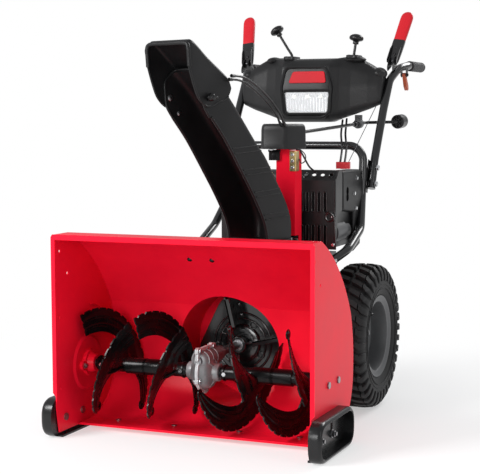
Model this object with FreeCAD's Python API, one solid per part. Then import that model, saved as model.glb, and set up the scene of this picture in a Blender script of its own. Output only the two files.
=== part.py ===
import FreeCAD, Part
import math
import os

V = FreeCAD.Vector
os.makedirs("parts", exist_ok=True)

# Two stage snowblower.  Millimetres, +Z up, auger housing towards -Y, operator at +Y.
# The model is drawn with y = 0 at the front edge of the auger housing and the wheels
# standing on z = 0.  Y_MID moves the origin to the middle of the machine's length.
Y_MID = 637.5

# auger housing
CLEAR_W = 711.0
HALF_W = CLEAR_W / 2
SHEET = 3.0
HOUSING_H = 541.0
FLANGE = 11.5
FRONT_FOLD = 14.0
# auger
AUGER_Y, AUGER_Z = 165.0, 175.0
AUGER_R = 152.0
RIBBON_R_IN = 86.0
RIBBON_T = 4.0
UNIT_PITCH = 162.0
SHAFT_R = 12.5
TUBE_R = 19.0
# impeller and its drum
IMP_Z = 209.0
DRUM_R = 150.0
DRUM_Y0, DRUM_Y1 = 329.5, 465.0
IMP_SHAFT_R = 11.0
WORM_R = 10.0
# chute, which turns about a vertical axis
CHUTE_X, CHUTE_Y = 70.0, 388.0
CHUTE_AIM = 18.0
RING_Z = 500.0
SEAT_Z = RING_Z - 4
RING_R = 91.5
CHUTE_W = 136.0
CHUTE_T = 4.0
HINGE_S, HINGE_Z = 289.0, 896.0
PINION_X, PINION_Y = 104.0, 494.5
PINION_R = 20.0
# chassis
FRAME_W = 300.0
FRAME_Y0, FRAME_Y1 = 468.0, 800.0
FRAME_Z0, FRAME_Z1 = 125.0, 440.0
CRANK_Z = 530.0
BELT_Y = 556.0
# wheels
WHEEL_Y, WHEEL_R = 675.0, 210.0
WHEEL_X, TYRE_W = 275.0, 122.0
RIM_R = 119.0
AXLE_R = 9.5
# handles
PIPE_R = 12.5
UPPER_X, LOWER_X = 243.0, 217.0
GRIP_X, GRIP_Z = 273.0, 1005.0
GRIP_R = 16.5
LEVER_PIVOT_X, LEVER_PIVOT_Y, LEVER_PIVOT_Z = 247.0, 1062.0, 1019.0

SHAPES = {}


def box(x0, x1, y0, y1, z0, z1):
    return Part.makeBox(x1 - x0, y1 - y0, z1 - z0, V(x0, y0, z0))


def rod(p, q, r):
    p, q = V(*p), V(*q)
    return Part.makeCylinder(r, (q - p).Length, p, q - p)


def pipe(p, q, r_out, r_in):
    return rod(p, q, r_out).cut(rod(p, q, r_in))


def cone(p, q, r0, r1):
    p, q = V(*p), V(*q)
    return Part.makeCone(r0, r1, (q - p).Length, p, q - p)


def ball(p, r):
    return Part.makeSphere(r, V(*p))


def join(first, *more):
    for other in more:
        first = first.fuse(other)
    return first.removeSplitter()


def cut(first, *tools):
    for tool in tools:
        first = first.cut(tool)
    return first


def face_of(points):
    pts = [V(*p) for p in points]
    return Part.Face(Part.makePolygon(pts + pts[:1]))


def slab_x(points, x0, x1):
    """Solid between x0 and x1 with a (y, z) outline."""
    return face_of([(x0, y, z) for y, z in points]).extrude(V(x1 - x0, 0, 0))


def slab_y(points, y0, y1):
    """Solid between y0 and y1 with an (x, z) outline."""
    return face_of([(x, y0, z) for x, z in points]).extrude(V(0, y1 - y0, 0))


def prism_z(points, z0, z1):
    """Solid between z0 and z1 with an (x, y) outline."""
    return face_of([(x, y, z0) for x, y in points]).extrude(V(0, 0, z1 - z0))


def mirror_x(shape):
    return shape.mirror(V(0, 0, 0), V(1, 0, 0))


def round_box(x0, x1, y0, y1, z0, z1, r):
    """Box with all its edges rounded."""
    solid = box(x0, x1, y0, y1, z0, z1)
    return solid.makeFillet(r, solid.Edges)


def hexagon(centre, axis, across, length):
    """Hexagon head or nut that starts at centre and grows along axis."""
    c, a = V(*centre), V(*axis)
    side = V(0, 0, 1) if abs(a.z) < 0.9 else V(1, 0, 0)
    u = a.cross(side)
    u.normalize()
    w = a.cross(u)
    w.normalize()
    r = across / math.sqrt(3)
    angles = [k * math.pi / 3 for k in range(6)]
    ring = [c + u * (r * math.cos(a)) + w * (r * math.sin(a)) for a in angles]
    return Part.Face(Part.makePolygon(ring + ring[:1])).extrude(V(*axis) * length)


def bent_path(points, radii=None):
    """Wire of straight runs joined by tangent arcs; each arc as large as its runs allow."""
    pts = [V(*p) for p in points]
    edges = []
    start = pts[0]
    made = []
    for k in range(1, len(pts) - 1):
        a, b, c = pts[k - 1], pts[k], pts[k + 1]
        u, w = (a - b), (c - b)
        run = min(u.Length, w.Length)
        u.normalize()
        w.normalize()
        turn = math.pi - u.getAngle(w)
        radius = 0.45 * run / math.tan(turn / 2)
        if radii:
            radius = min(radius, radii[k - 1])
        back = radius * math.tan(turn / 2)
        t0, t1 = b + u * back, b + w * back
        mid_dir = u + w
        mid_dir.normalize()
        mid = b + mid_dir * (radius / math.cos(turn / 2) - radius)
        edges.append(Part.LineSegment(start, t0).toShape())
        edges.append(Part.Arc(t0, mid, t1).toShape())
        start = t1
        made.append(round(radius, 1))
    edges.append(Part.LineSegment(start, pts[-1]).toShape())
    return Part.Wire(edges), made


def bent_rod(points, r, radii=None, name=None):
    """Round bar or tube along a bent path."""
    wire, made = bent_path(points, radii)
    first = V(*points[0])
    section = Part.Wire([Part.Circle(first, V(*points[1]) - first, r).toShape()])
    solid = wire.makePipeShell([section], True, True)
    solid = Part.Solid(solid) if solid.ShapeType != "Solid" else solid
    if name:
        ratio = solid.Volume / (math.pi * r * r * wire.Length)
        print(name, "length", round(wire.Length), "radii", made, "volume ratio", round(ratio, 3))
    return solid


def keep(name, shape):
    SHAPES[name] = shape


# ---------------------------------------------------------------- auger housing

FLOOR_FRONT = 112.0
FLOOR_R = 163.0


def housing_wire(x, with_foot):
    """Side outline of the housing; with_foot adds the low front part of the side plates."""
    back_y = AUGER_Y + FLOOR_R
    slope = FLOOR_R * math.sqrt(0.5)
    arcs = [Part.Arc(V(x, 74, HOUSING_H), V(x, 207, 457), V(x, 307, 331)).toShape(),
            Part.Arc(V(x, 307, 331), V(x, back_y - 2, 256), V(x, back_y, AUGER_Z)).toShape(),
            Part.Arc(V(x, back_y, AUGER_Z), V(x, AUGER_Y + slope, AUGER_Z - slope),
                     V(x, AUGER_Y, AUGER_Z - FLOOR_R)).toShape()]
    low = [(AUGER_Y, AUGER_Z - FLOOR_R), (12, 12), (0, 75), (0, HOUSING_H), (74, HOUSING_H)]
    if not with_foot:
        low[1:3] = [(0, AUGER_Z - FLOOR_R)]
    lines = [Part.LineSegment(V(x, *a), V(x, *b)).toShape() for a, b in zip(low, low[1:])]
    return Part.Wire(arcs + lines)


def make_housing():
    x0 = -HALF_W
    outer = housing_wire(x0, False)
    inner = outer.makeOffset2D(-SHEET)
    shell = Part.Face(outer).extrude(V(CLEAR_W, 0, 0)).cut(Part.Face(inner).extrude(V(CLEAR_W, 0, 0)))
    open_front = box(x0 - 1, HALF_W + 1, -5, 30, -5, HOUSING_H - FRONT_FOLD)
    open_floor = box(x0 - 1, HALF_W + 1, -5, FLOOR_FRONT, -5, 44)
    mouth = rod((0, 230, IMP_Z), (0, 400, IMP_Z), DRUM_R)
    back_bolts = [rod((x, 180, 470), (x, 240, 470), 4) for x in (-55, 10)]
    shell = cut(shell, open_front, open_floor, mouth, *(back_bolts + scraper_holes()))
    keep("auger_housing", shell)
    plate = Part.Face(housing_wire(HALF_W, True)).extrude(V(SHEET, 0, 0))
    root, edge = HALF_W + 1, HALF_W + FLANGE
    outline = [(root, 108), (edge, 119), (edge, 534), (HALF_W + 7, HOUSING_H), (root, HOUSING_H)]
    flange = slab_y(outline, 0, SHEET)
    boss = cone((HALF_W, AUGER_Y, AUGER_Z), (HALF_W - 5, AUGER_Y, AUGER_Z), 78, 70)
    holes = [rod((HALF_W - 9, y, z), (HALF_W + 9, y, z), 4.0) for y, z in ((26, 495), (65, 433))]
    bolt_holes = [rod((HALF_W - 9, y, z), (HALF_W + 9, y, z), r) for y, z, r in SIDE_BOLTS]
    side = cut(join(plate, flange, boss), *(holes + bolt_holes))
    keep("housing_side_left", side)
    keep("housing_side_right", mirror_x(side))


# (y, z, hole radius): two for the auger bearing, two for the skid shoe
SIDE_BOLTS = [(AUGER_Y - 38, AUGER_Z - 3, 4.2), (AUGER_Y + 38, AUGER_Z - 3, 4.2),
              (45, 48, 5.2), (135, 48, 5.2)]


def make_drum():
    """Impeller drum, its back wall and the round neck that the chute turns on."""
    shell = rod((0, DRUM_Y0 - 12, IMP_Z), (0, DRUM_Y1, IMP_Z), DRUM_R + 3)
    inside = rod((0, DRUM_Y0 - 20, IMP_Z), (0, DRUM_Y1 - 3, IMP_Z), DRUM_R)
    neck_bore = rod((CHUTE_X, CHUTE_Y, IMP_Z + 50), (CHUTE_X, CHUTE_Y, RING_Z), 72)
    shaft_hole = rod((0, DRUM_Y1 - 9, IMP_Z), (0, DRUM_Y1 + 9, IMP_Z), 25)
    neck = rod((CHUTE_X, CHUTE_Y, IMP_Z + 75), (CHUTE_X, CHUTE_Y, SEAT_Z), 75)
    neck = neck.fuse(rod((CHUTE_X, CHUTE_Y, SEAT_Z - 4), (CHUTE_X, CHUTE_Y, SEAT_Z), RING_R))
    front_trim = box(-200, 200, 250, DRUM_Y0, 0, 520)
    drum = cut(shell, inside, shaft_hole, neck_bore).fuse(cut(neck, neck_bore, inside)).cut(front_trim)
    bearing = rod((0, DRUM_Y1 - 10, IMP_Z), (0, DRUM_Y1 - 3, IMP_Z), 40)
    bearing = bearing.fuse(rod((0, DRUM_Y1 - 10, IMP_Z), (0, DRUM_Y1 + 2, IMP_Z), 24.9))
    bearing = bearing.cut(rod((0, DRUM_Y1 - 15, IMP_Z), (0, DRUM_Y1 + 9, IMP_Z), IMP_SHAFT_R + 0.05))
    keep("impeller_drum", drum.fuse(bearing))


SCRAPER_BOLTS = [(x, 173.0) for x in (-265, -95, 95, 265)]


def scraper_holes():
    return [rod((x, y, 0), (x, y, 40), 4.2) for x, y in SCRAPER_BOLTS]


def make_scraper():
    """Wear strip on the floor's front edge."""
    top = AUGER_Z - FLOOR_R + SHEET
    bar = slab_x([(FLOOR_FRONT, top + 0.05), (AUGER_Y, top + 0.05), (186, top + 1.5), (205, top + 5.3),
                  (204, top + 8.0), (186, top + 4.3), (AUGER_Y, top + 3), (FLOOR_FRONT, top + 3)], -350, 350)
    keep("scraper_bar", cut(bar, *scraper_holes()))


def make_housing_bolts():
    """Carriage bolts of the auger bearings, the scraper, the skid shoes and the gearbox halves."""
    solids = []
    shoe_face = HALF_W + SHEET + 0.6
    for side in (1, -1):
        for y, z, r in SIDE_BOLTS[:2]:
            head = rod((HALF_W + 3.05, y, z), (HALF_W + 7, y, z), 9.0)
            shank = rod((HALF_W - 21, y, z), (HALF_W + 4, y, z), r - 0.1)
            nut = hexagon((HALF_W - 14.2, y, z), (-1, 0, 0), 13, 5.5)
            part = join(head, shank, nut)
            solids.append(part if side > 0 else mirror_x(part))
        for y, z in SKID_BOLTS:
            stud = join(rod((HALF_W - 4, y, z), (HALF_W - 0.05, y, z), 10),
                        rod((HALF_W - 3, y, z), (shoe_face + 20, y, z), 5),
                        rod((shoe_face + 6.3, y, z), (shoe_face + 8.5, y, z), 11),
                        hexagon((shoe_face + 8.3, y, z), (1, 0, 0), 15, 7))
            solids.append(stud if side > 0 else mirror_x(stud))
    for x, y in SCRAPER_BOLTS:
        solids.append(join(rod((x, y, 19.2), (x, y, 20.9), 8), rod((x, y, 6), (x, y, 20), 4.1),
                           hexagon((x, y, 11.7), (0, 0, -1), 12, 5)))
    for y, z in GEARBOX_BOLTS:
        solids.append(join(hexagon((-4.05, y, z), (-1, 0, 0), 11, 5), rod((-5, y, z), (10, y, z), 3.5),
                           hexagon((4.05, y, z), (1, 0, 0), 11, 5)))
    keep("housing_bolts", Part.makeCompound(solids))


def make_bearings():
    """Flanged auger bearings inside the side plates."""
    face = HALF_W - 5.05
    lug = join(box(face - 9, face, AUGER_Y - 38, AUGER_Y + 38, AUGER_Z - 16, AUGER_Z + 10),
               rod((face - 9, AUGER_Y - 38, AUGER_Z - 3), (face, AUGER_Y - 38, AUGER_Z - 3), 13),
               rod((face - 9, AUGER_Y + 38, AUGER_Z - 3), (face, AUGER_Y + 38, AUGER_Z - 3), 13),
               rod((face - 9, AUGER_Y, AUGER_Z), (face, AUGER_Y, AUGER_Z), 36),
               cone((face - 26, AUGER_Y, AUGER_Z), (face - 8, AUGER_Y, AUGER_Z), 22, 28))
    bolt_holes = [rod((face - 30, y, z), (face + 5, y, z), r) for y, z, r in SIDE_BOLTS[:2]]
    shaft_hole = rod((face - 30, AUGER_Y, AUGER_Z), (face + 5, AUGER_Y, AUGER_Z), SHAFT_R + 0.05)
    lug = cut(lug, shaft_hole, *bolt_holes)
    keep("auger_bearings", Part.makeCompound([lug, mirror_x(lug)]))


# ---------------------------------------------------------------- auger

def ribbon(x_at, slope, theta0, theta1, centre, steps=16):
    """Helical blade about the auger shaft.

    theta is measured from the top towards the back, in degrees.  x_at is x at theta0 and
    slope is x per degree.  Round theta = centre the blade reaches in to the tube.
    """
    rings = []
    for k in range(steps + 1):
        share = k / steps
        theta = theta0 + (theta1 - theta0) * share
        x = x_at + slope * (theta - theta0)
        tip = math.sin(math.pi * min(max(share, 0.03), 0.97)) ** 0.35
        near = max(0.0, math.cos(min(1.0, abs(theta - centre) / 42) * math.pi / 2)) ** 1.5
        r_out = AUGER_R - 30 * (1 - tip)
        r_in = RIBBON_R_IN + 14 * (1 - tip) - near * (RIBBON_R_IN - TUBE_R + 3)
        rings.append((x, math.radians(theta), r_out, r_in))
    corners = []
    for x, a, r_out, r_in in rings:
        quad = []
        for r, dx in ((r_in, -1), (r_out, -1), (r_out, 1), (r_in, 1)):
            quad.append(V(x + dx * RIBBON_T / 2, AUGER_Y + r * math.sin(a), AUGER_Z + r * math.cos(a)))
        corners.append(quad)
    faces = [face_of([tuple(p) for p in corners[0]]), face_of([tuple(p) for p in corners[-1]])]
    for a, b in zip(corners, corners[1:]):
        for i in range(4):
            j = (i + 1) % 4
            faces.append(face_of([tuple(a[i]), tuple(a[j]), tuple(b[j])]))
            faces.append(face_of([tuple(a[i]), tuple(b[j]), tuple(b[i])]))
    return Part.makeSolid(Part.makeShell(faces))


# x at the start, x per degree, start and end angle, angle where the blade meets the tube
LEFT_HAND_BLADES = [(-338.0, 0.70, -24.0, 165.0, 92.0), (-309.0, 0.91, -168.0, -32.0, -95.0)]
RIGHT_HAND_BLADES = [(167.0, -0.70, 65.0, 252.0, 128.0), (80.0, -0.95, -8.0, -104.0, -80.0)]


def make_auger():
    """Two welded auger halves on one shaft, each with two pairs of blades."""
    tube_ends = [(-318, -50), (52, 318)]
    for name, blades, shifts, (xa, xb) in (
            ("auger_right", LEFT_HAND_BLADES, (0, UNIT_PITCH), tube_ends[0]),
            ("auger_left", RIGHT_HAND_BLADES, (0, UNIT_PITCH), tube_ends[1])):
        solid = rod((xa, AUGER_Y, AUGER_Z), (xb, AUGER_Y, AUGER_Z), TUBE_R)
        for shift in shifts:
            for x_at, slope, t0, t1, centre in blades:
                solid = solid.fuse(ribbon(x_at + shift, slope, t0, t1, centre))
        bore = rod((xa - 1, AUGER_Y, AUGER_Z), (xb + 1, AUGER_Y, AUGER_Z), SHAFT_R)
        pin_bores = [rod((x, AUGER_Y - 40, AUGER_Z), (x, AUGER_Y + 40, AUGER_Z), 3.0) for x in PIN_X]
        keep(name, cut(solid, bore, *pin_bores))
    shaft = rod((5.5 - HALF_W, AUGER_Y, AUGER_Z), (HALF_W - 5.5, AUGER_Y, AUGER_Z), SHAFT_R)
    shaft = join(shaft, rod((-8, AUGER_Y, AUGER_Z), (8, AUGER_Y, AUGER_Z), 23.6))
    pin_bores = [rod((x, AUGER_Y - 40, AUGER_Z), (x, AUGER_Y + 40, AUGER_Z), 3.0) for x in PIN_X]
    keep("auger_shaft", cut(shaft, *pin_bores))
    pins = []
    for x in PIN_X:
        pins.append(join(hexagon((x, AUGER_Y - TUBE_R - 0.2, AUGER_Z), (0, -1, 0), 10, 5),
                         rod((x, AUGER_Y - TUBE_R - 3, AUGER_Z), (x, AUGER_Y + TUBE_R + 8, AUGER_Z), 3.0),
                         rod((x, AUGER_Y + TUBE_R + 0.2, AUGER_Z), (x, AUGER_Y + TUBE_R + 5, AUGER_Z), 6.5)))
    keep("shear_pins", Part.makeCompound(pins))


PIN_X = (-300.0, -62.0, 64.0, 300.0)


def make_gearbox():
    body = join(rod((-22, AUGER_Y, AUGER_Z), (22, AUGER_Y, AUGER_Z), 44),
                cone((22, AUGER_Y, AUGER_Z), (34, AUGER_Y, AUGER_Z), 36, 24),
                cone((-34, AUGER_Y, AUGER_Z), (-22, AUGER_Y, AUGER_Z), 24, 36),
                rod((-46, AUGER_Y, AUGER_Z), (46, AUGER_Y, AUGER_Z), 22),
                rod((0, 112, IMP_Z), (0, 232, IMP_Z), 25),
                rod((0, 225, IMP_Z), (0, 262, IMP_Z), 19))
    rim = join(rod((-4, AUGER_Y, AUGER_Z), (4, AUGER_Y, AUGER_Z), 54),
               box(-4, 4, 112, 230, IMP_Z - 10, IMP_Z + 33))
    rim_holes = [rod((-12, y, z), (12, y, z), 3.6) for y, z in GEARBOX_BOLTS]
    body = join(body, rim)
    cavity = join(rod((-14, AUGER_Y, AUGER_Z), (14, AUGER_Y, AUGER_Z), 28),
                  rod((0, 120, IMP_Z), (0, 226, IMP_Z), 14))
    bores = [rod((-60, AUGER_Y, AUGER_Z), (60, AUGER_Y, AUGER_Z), SHAFT_R + 0.05),
             rod((0, 116, IMP_Z), (0, 280, IMP_Z), WORM_R + 0.05)]
    relief = [rod((-60, y, z), (-4, y, z), 7.5) for y, z in GEARBOX_BOLTS]
    relief += [rod((4, y, z), (60, y, z), 7.5) for y, z in GEARBOX_BOLTS]
    keep("auger_gearbox", cut(body, cavity, *(bores + relief + rim_holes)))


GEARBOX_BOLTS = [(121.5, 235.0), (206.0, 235.0), (119.0, 156.0), (165.0, 126.0), (211.0, 156.0)]


# ---------------------------------------------------------------- impeller

def make_impeller():
    """Square stamped fan plate with four paddles, its shaft and the worm."""
    plate_y = 428.0
    edge = []
    for k in range(4):
        a = math.radians(-14 + 90 * k)
        for da in (-0.28, 0.12):
            edge.append((138 * math.sin(a + da), IMP_Z + 138 * math.cos(a + da)))
    plate = slab_y(edge, plate_y, plate_y + 4)
    ring_groove = pipe((0, plate_y - 3, IMP_Z), (0, plate_y + 0.5, IMP_Z), 84, 76)
    hub = rod((0, plate_y - 40, IMP_Z), (0, plate_y + 16, IMP_Z), 24)
    collar = rod((0, plate_y - 8, IMP_Z), (0, plate_y + 1, IMP_Z), 50)
    fan = join(plate, ring_groove, hub, collar)
    for k in range(4):
        a = -14 + 90 * k
        paddle = box(-2.5, 2.5, plate_y - 56, plate_y + 2, 26, 146)
        brace = slab_y([(-14, 40), (14, 40), (2, 138), (-2, 138)], plate_y - 3, plate_y + 1)
        blade = paddle.fuse(brace)
        blade.rotate(V(0, 0, 0), V(0, 1, 0), a)
        blade.translate(V(0, 0, IMP_Z))
        fan = fan.fuse(blade)
    holes = []
    for k in range(4):
        a = math.radians(31 + 90 * k)
        c = (62 * math.sin(a), IMP_Z + 62 * math.cos(a))
        holes.append(rod((c[0], plate_y - 20, c[1]), (c[0], plate_y + 20, c[1]), 10))
    fan = cut(fan, rod((0, 300, IMP_Z), (0, 460, IMP_Z), IMP_SHAFT_R), *holes)
    keep("impeller", fan.removeSplitter())
    # the worm that drives the auger is cut into the thinner front end of the shaft
    shaft = join(rod((0, 118, IMP_Z), (0, 275, IMP_Z), WORM_R),
                 rod((0, 274, IMP_Z), (0, BELT_Y + 24, IMP_Z), IMP_SHAFT_R))
    pulley = grooved_pulley((0, BELT_Y - 9, IMP_Z), AUGER_PULLEY_R, 14, IMP_SHAFT_R - 0.5)
    keep("impeller_shaft", join(shaft, pulley))


def grooved_pulley(centre, r, width, bore):
    """V-belt pulley on an axis along Y."""
    x, y, z = centre
    half = width / 2
    depth = 9.0
    body = rod((x, y - half, z), (x, y + half, z), r)
    groove = cone((x, y - half + 2, z), (x, y, z), r + 0.01, r - depth)
    groove2 = cone((x, y, z), (x, y + half - 2, z), r - depth, r + 0.01)
    core = join(groove, groove2)
    vee = rod((x, y - half + 2, z), (x, y + half - 2, z), r + 1).cut(core)
    web = [pipe((x, y - half - 1, z), (x, y - 4, z), r - depth - 6, bore + 14),
           pipe((x, y + 4, z), (x, y + half + 1, z), r - depth - 6, bore + 14)]
    solid = cut(body, vee)
    if r > 50:
        solid = cut(solid, *web)
    return solid.cut(rod((x, y - half - 1, z), (x, y + half + 1, z), bore))


AUGER_PULLEY_R, DISC_PULLEY_R, CRANK_PULLEY_R = 95.0, 62.0, 34.0
DISC_X, DISC_Z = 0.0, 345.0
FRICTION_R = 62.0
DRIVE_PINION_R = 40.0


def make_belts():
    """Two belts from the engine: one to the auger pulley, one to the friction disc."""
    belts = []
    for y, z, r in ((BELT_Y - 9, IMP_Z, AUGER_PULLEY_R), (BELT_Y + 9, DISC_Z, DISC_PULLEY_R)):
        belts.append(belt(y, z, r, CRANK_Z, CRANK_PULLEY_R))
    keep("drive_belts", Part.makeCompound(belts))


def belt(y, z0, r0, z1, r1):
    """Flat loop just clear of the pulleys' rims, round two wheels one above the other."""
    def loop(extra):
        a, b = r0 + extra, r1 + extra
        lean = math.asin((a - b) / (z1 - z0))
        ca, sa = math.cos(lean), math.sin(lean)
        return Part.Wire([
            Part.Arc(V(-a * ca, y, z0 + a * sa), V(0, y, z0 - a), V(a * ca, y, z0 + a * sa)).toShape(),
            Part.LineSegment(V(a * ca, y, z0 + a * sa), V(b * ca, y, z1 + b * sa)).toShape(),
            Part.Arc(V(b * ca, y, z1 + b * sa), V(0, y, z1 + b), V(-b * ca, y, z1 + b * sa)).toShape(),
            Part.LineSegment(V(-b * ca, y, z1 + b * sa), V(-a * ca, y, z0 + a * sa)).toShape()])
    width = V(0, 9, 0)
    ring = Part.Face(loop(5.0)).extrude(width).cut(Part.Face(loop(0.4)).extrude(width))
    ring.translate(V(0, -4.5, 0))
    return ring


# ---------------------------------------------------------------- chassis and drive

HEX_Y, HEX_Z = 672.0, 330.0


def make_chassis():
    w = FRAME_W / 2
    outer = box(-w, w, FRAME_Y0, FRAME_Y1, FRAME_Z0, FRAME_Z1)
    inner = box(-w + 3, w - 3, FRAME_Y0 + 3, FRAME_Y1 - 3, FRAME_Z0 - 5, FRAME_Z1 - 3)
    belt_slot = box(-88, 88, BELT_Y - 24, BELT_Y + 22, FRAME_Z1 - 10, FRAME_Z1 + 5)
    frame = outer.cut(inner)
    holes = [rod((-w - 20, WHEEL_Y, WHEEL_R), (w + 20, WHEEL_Y, WHEEL_R), 15.05),
             rod((0, FRAME_Y0 - 9, IMP_Z), (0, FRAME_Y0 + 9, IMP_Z), 14),
             rod((-w - 9, HEX_Y, HEX_Z), (w + 9, HEX_Y, HEX_Z), 8.05)]
    shelf = box(-w + 3, w - 3, BELT_Y + 26, BELT_Y + 29, FRAME_Z0 + 5, FRAME_Z1 - 3)
    shelf_holes = [rod((DISC_X, 500, DISC_Z), (DISC_X, 700, DISC_Z), 10.05)]
    flange = box(-w, w, DRUM_Y1 + 0.05, FRAME_Y0, IMP_Z - 70, IMP_Z + 165)
    frame = join(frame, flange, shelf)
    gap = rod((0, DRUM_Y1 - 5, IMP_Z), (0, FRAME_Y0 + 5, IMP_Z), 26)
    keep("chassis", cut(frame, belt_slot, gap, *(holes + shelf_holes)))


def make_drive():
    """Friction disc, friction wheel on its cross shaft, and the axle halves."""
    w = FRAME_W / 2
    disc_pulley = grooved_pulley((DISC_X, BELT_Y + 9, DISC_Z), DISC_PULLEY_R, 14, 10)
    spindle = rod((DISC_X, BELT_Y - 2, DISC_Z), (DISC_X, HEX_Y - FRICTION_R - 8, DISC_Z), 10)
    plate = rod((DISC_X, HEX_Y - FRICTION_R - 8, DISC_Z), (DISC_X, HEX_Y - FRICTION_R - 0.4, DISC_Z), 92)
    keep("drive_disc", join(disc_pulley, spindle, plate))
    shaft = rod((-w + 0.5, HEX_Y, HEX_Z), (w - 0.5, HEX_Y, HEX_Z), 8)
    pinion = rod((w - 34, HEX_Y, HEX_Z), (w - 16, HEX_Y, HEX_Z), DRIVE_PINION_R)
    keep("cross_shaft", join(shaft, pinion))
    wheel = pipe((34, HEX_Y, HEX_Z), (42, HEX_Y, HEX_Z), FRICTION_R, 8.05)
    carrier = pipe((26, HEX_Y, HEX_Z), (50, HEX_Y, HEX_Z), 18, 8.05)
    keep("friction_wheel", join(wheel, carrier))
    gap = math.hypot(HEX_Y - WHEEL_Y, HEX_Z - WHEEL_R)
    gear = rod((w - 34, WHEEL_Y, WHEEL_R), (w - 16, WHEEL_Y, WHEEL_R), gap - DRIVE_PINION_R - 0.4)
    tube = join(gear, rod((-w - 6, WHEEL_Y, WHEEL_R), (w + 6, WHEEL_Y, WHEEL_R), 15))
    keep("axle_tube", tube.cut(rod((-w - 9, WHEEL_Y, WHEEL_R), (w + 9, WHEEL_Y, WHEEL_R), AXLE_R + 0.05)))


def make_wheels():
    """Dished steel rims and lugged tyres; the tyre section is a revolved outline."""
    rim_pts = [(-48, RIM_R), (-42, RIM_R - 4), (-40, RIM_R - 16), (40, RIM_R - 16), (42, RIM_R - 4),
               (48, RIM_R), (48, RIM_R - 4), (44, RIM_R - 8), (43, RIM_R - 20), (-8, RIM_R - 20), (-16, 86),
               (-24, 60), (-26, 34), (4, 30), (4, AXLE_R), (-60, AXLE_R), (-60, 20), (-46, 20), (-42, 34),
               (-32, 60), (-23, 90), (-26, RIM_R - 20),
               (-43, RIM_R - 20), (-44, RIM_R - 8), (-48, RIM_R - 4)]
    tyre_pts = [(-47.5, RIM_R + 0.05), (-43.5, RIM_R - 1), (-39, RIM_R - 10), (39, RIM_R - 10),
                (43.5, RIM_R - 1), (47.5, RIM_R + 0.05),
                (54, RIM_R + 10), (60, RIM_R + 34), (61, RIM_R + 52), (57, RIM_R + 72),
                (50, WHEEL_R - 9), (36, WHEEL_R - 2),
                (16, WHEEL_R), (-16, WHEEL_R), (-36, WHEEL_R - 2), (-50, WHEEL_R - 9), (-57, RIM_R + 72),
                (-61, RIM_R + 52), (-60, RIM_R + 34), (-54, RIM_R + 10)]
    for name, side in (("left", 1), ("right", -1)):
        for part, pts in (("rim", rim_pts), ("tyre", tyre_pts)):
            outline = face_of([(WHEEL_X + x, 0, r) for x, r in pts])
            solid = outline.revolve(V(0, 0, 0), V(1, 0, 0), 360)
            solid.translate(V(0, WHEEL_Y, WHEEL_R))
            if part == "rim":
                half_axle = rod((2, WHEEL_Y, WHEEL_R), (WHEEL_X + 12, WHEEL_Y, WHEEL_R), AXLE_R)
                solid = join(solid, half_axle)
            keep(part + "_" + name, solid if side > 0 else mirror_x(solid))


# ---------------------------------------------------------------- skid shoes

SKID_BOLTS = [(45.0, 48.0), (135.0, 48.0)]


def make_skids():
    """Moulded shoes; two upright slots let each one be set lower."""
    x0, x1 = HALF_W + SHEET + 0.6, 392.0
    face = box(x0, x1, -25, 245, 0, 105)
    round_edges = [e for e in face.Edges if abs(e.Vertexes[0].Point.x - e.Vertexes[-1].Point.x) > 1]
    body = face.makeFillet(26, round_edges)
    pocket = box(x0 + 6, x1 + 5, -14, 234, 11, 94)
    pocket = pocket.makeFillet(16, [e for e in pocket.Edges
                                    if abs(e.Vertexes[0].Point.x - e.Vertexes[-1].Point.x) > 1])
    runner = box(x0 - 14, x0 + 2, 8, 212, 0, 5)
    slots = []
    for y, z in SKID_BOLTS:
        slots += [box(x0 - 9, x1 + 9, y - 6, y + 6, z - 2, z + 30),
                  rod((x0 - 9, y, z), (x1 + 9, y, z), 6), rod((x0 - 9, y, z + 30), (x1 + 9, y, z + 30), 6)]
    shoe = cut(join(body, runner), pocket, *slots)
    keep("skid_shoe_left", shoe)
    keep("skid_shoe_right", mirror_x(shoe))


# ---------------------------------------------------------------- chute

AIM = math.radians(CHUTE_AIM)
HEAD_PLAN = [(26, 545), (26, 494), (46, 484), (46, 452), (118, 452), (150, 545)]


def chute_point(s, v, z):
    """Point at s forward and v to the side of the chute's axis, along its aim."""
    x = CHUTE_X - s * math.sin(AIM) + v * math.cos(AIM)
    y = CHUTE_Y - s * math.cos(AIM) - v * math.sin(AIM)
    return V(x, y, z)


def chute_rod(s, z, v0, v1, r):
    """Round bar across the chute from v0 to v1."""
    return rod(tuple(chute_point(s, v0, z)), tuple(chute_point(s, v1, z)), r)


def chute_slab(points, v0, v1):
    """Solid between v0 and v1 with an (s, z) outline in the chute's own plane."""
    face = Part.Face(Part.makePolygon([chute_point(s, v0, z) for s, z in points + points[:1]]))
    return face.extrude(chute_point(0, v1, 0) - chute_point(0, v0, 0))


REAR_WALL = [(-62, 503.5), (-61, 560), (-40, 612), (-7, 661), (47, 737), (91, 783), (150, 850), (192, 896)]
FRONT_EDGE = [(292, 862), (226, 789), (167, 712), (106, 628), (66, 560), (52, 503.5)]


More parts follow.
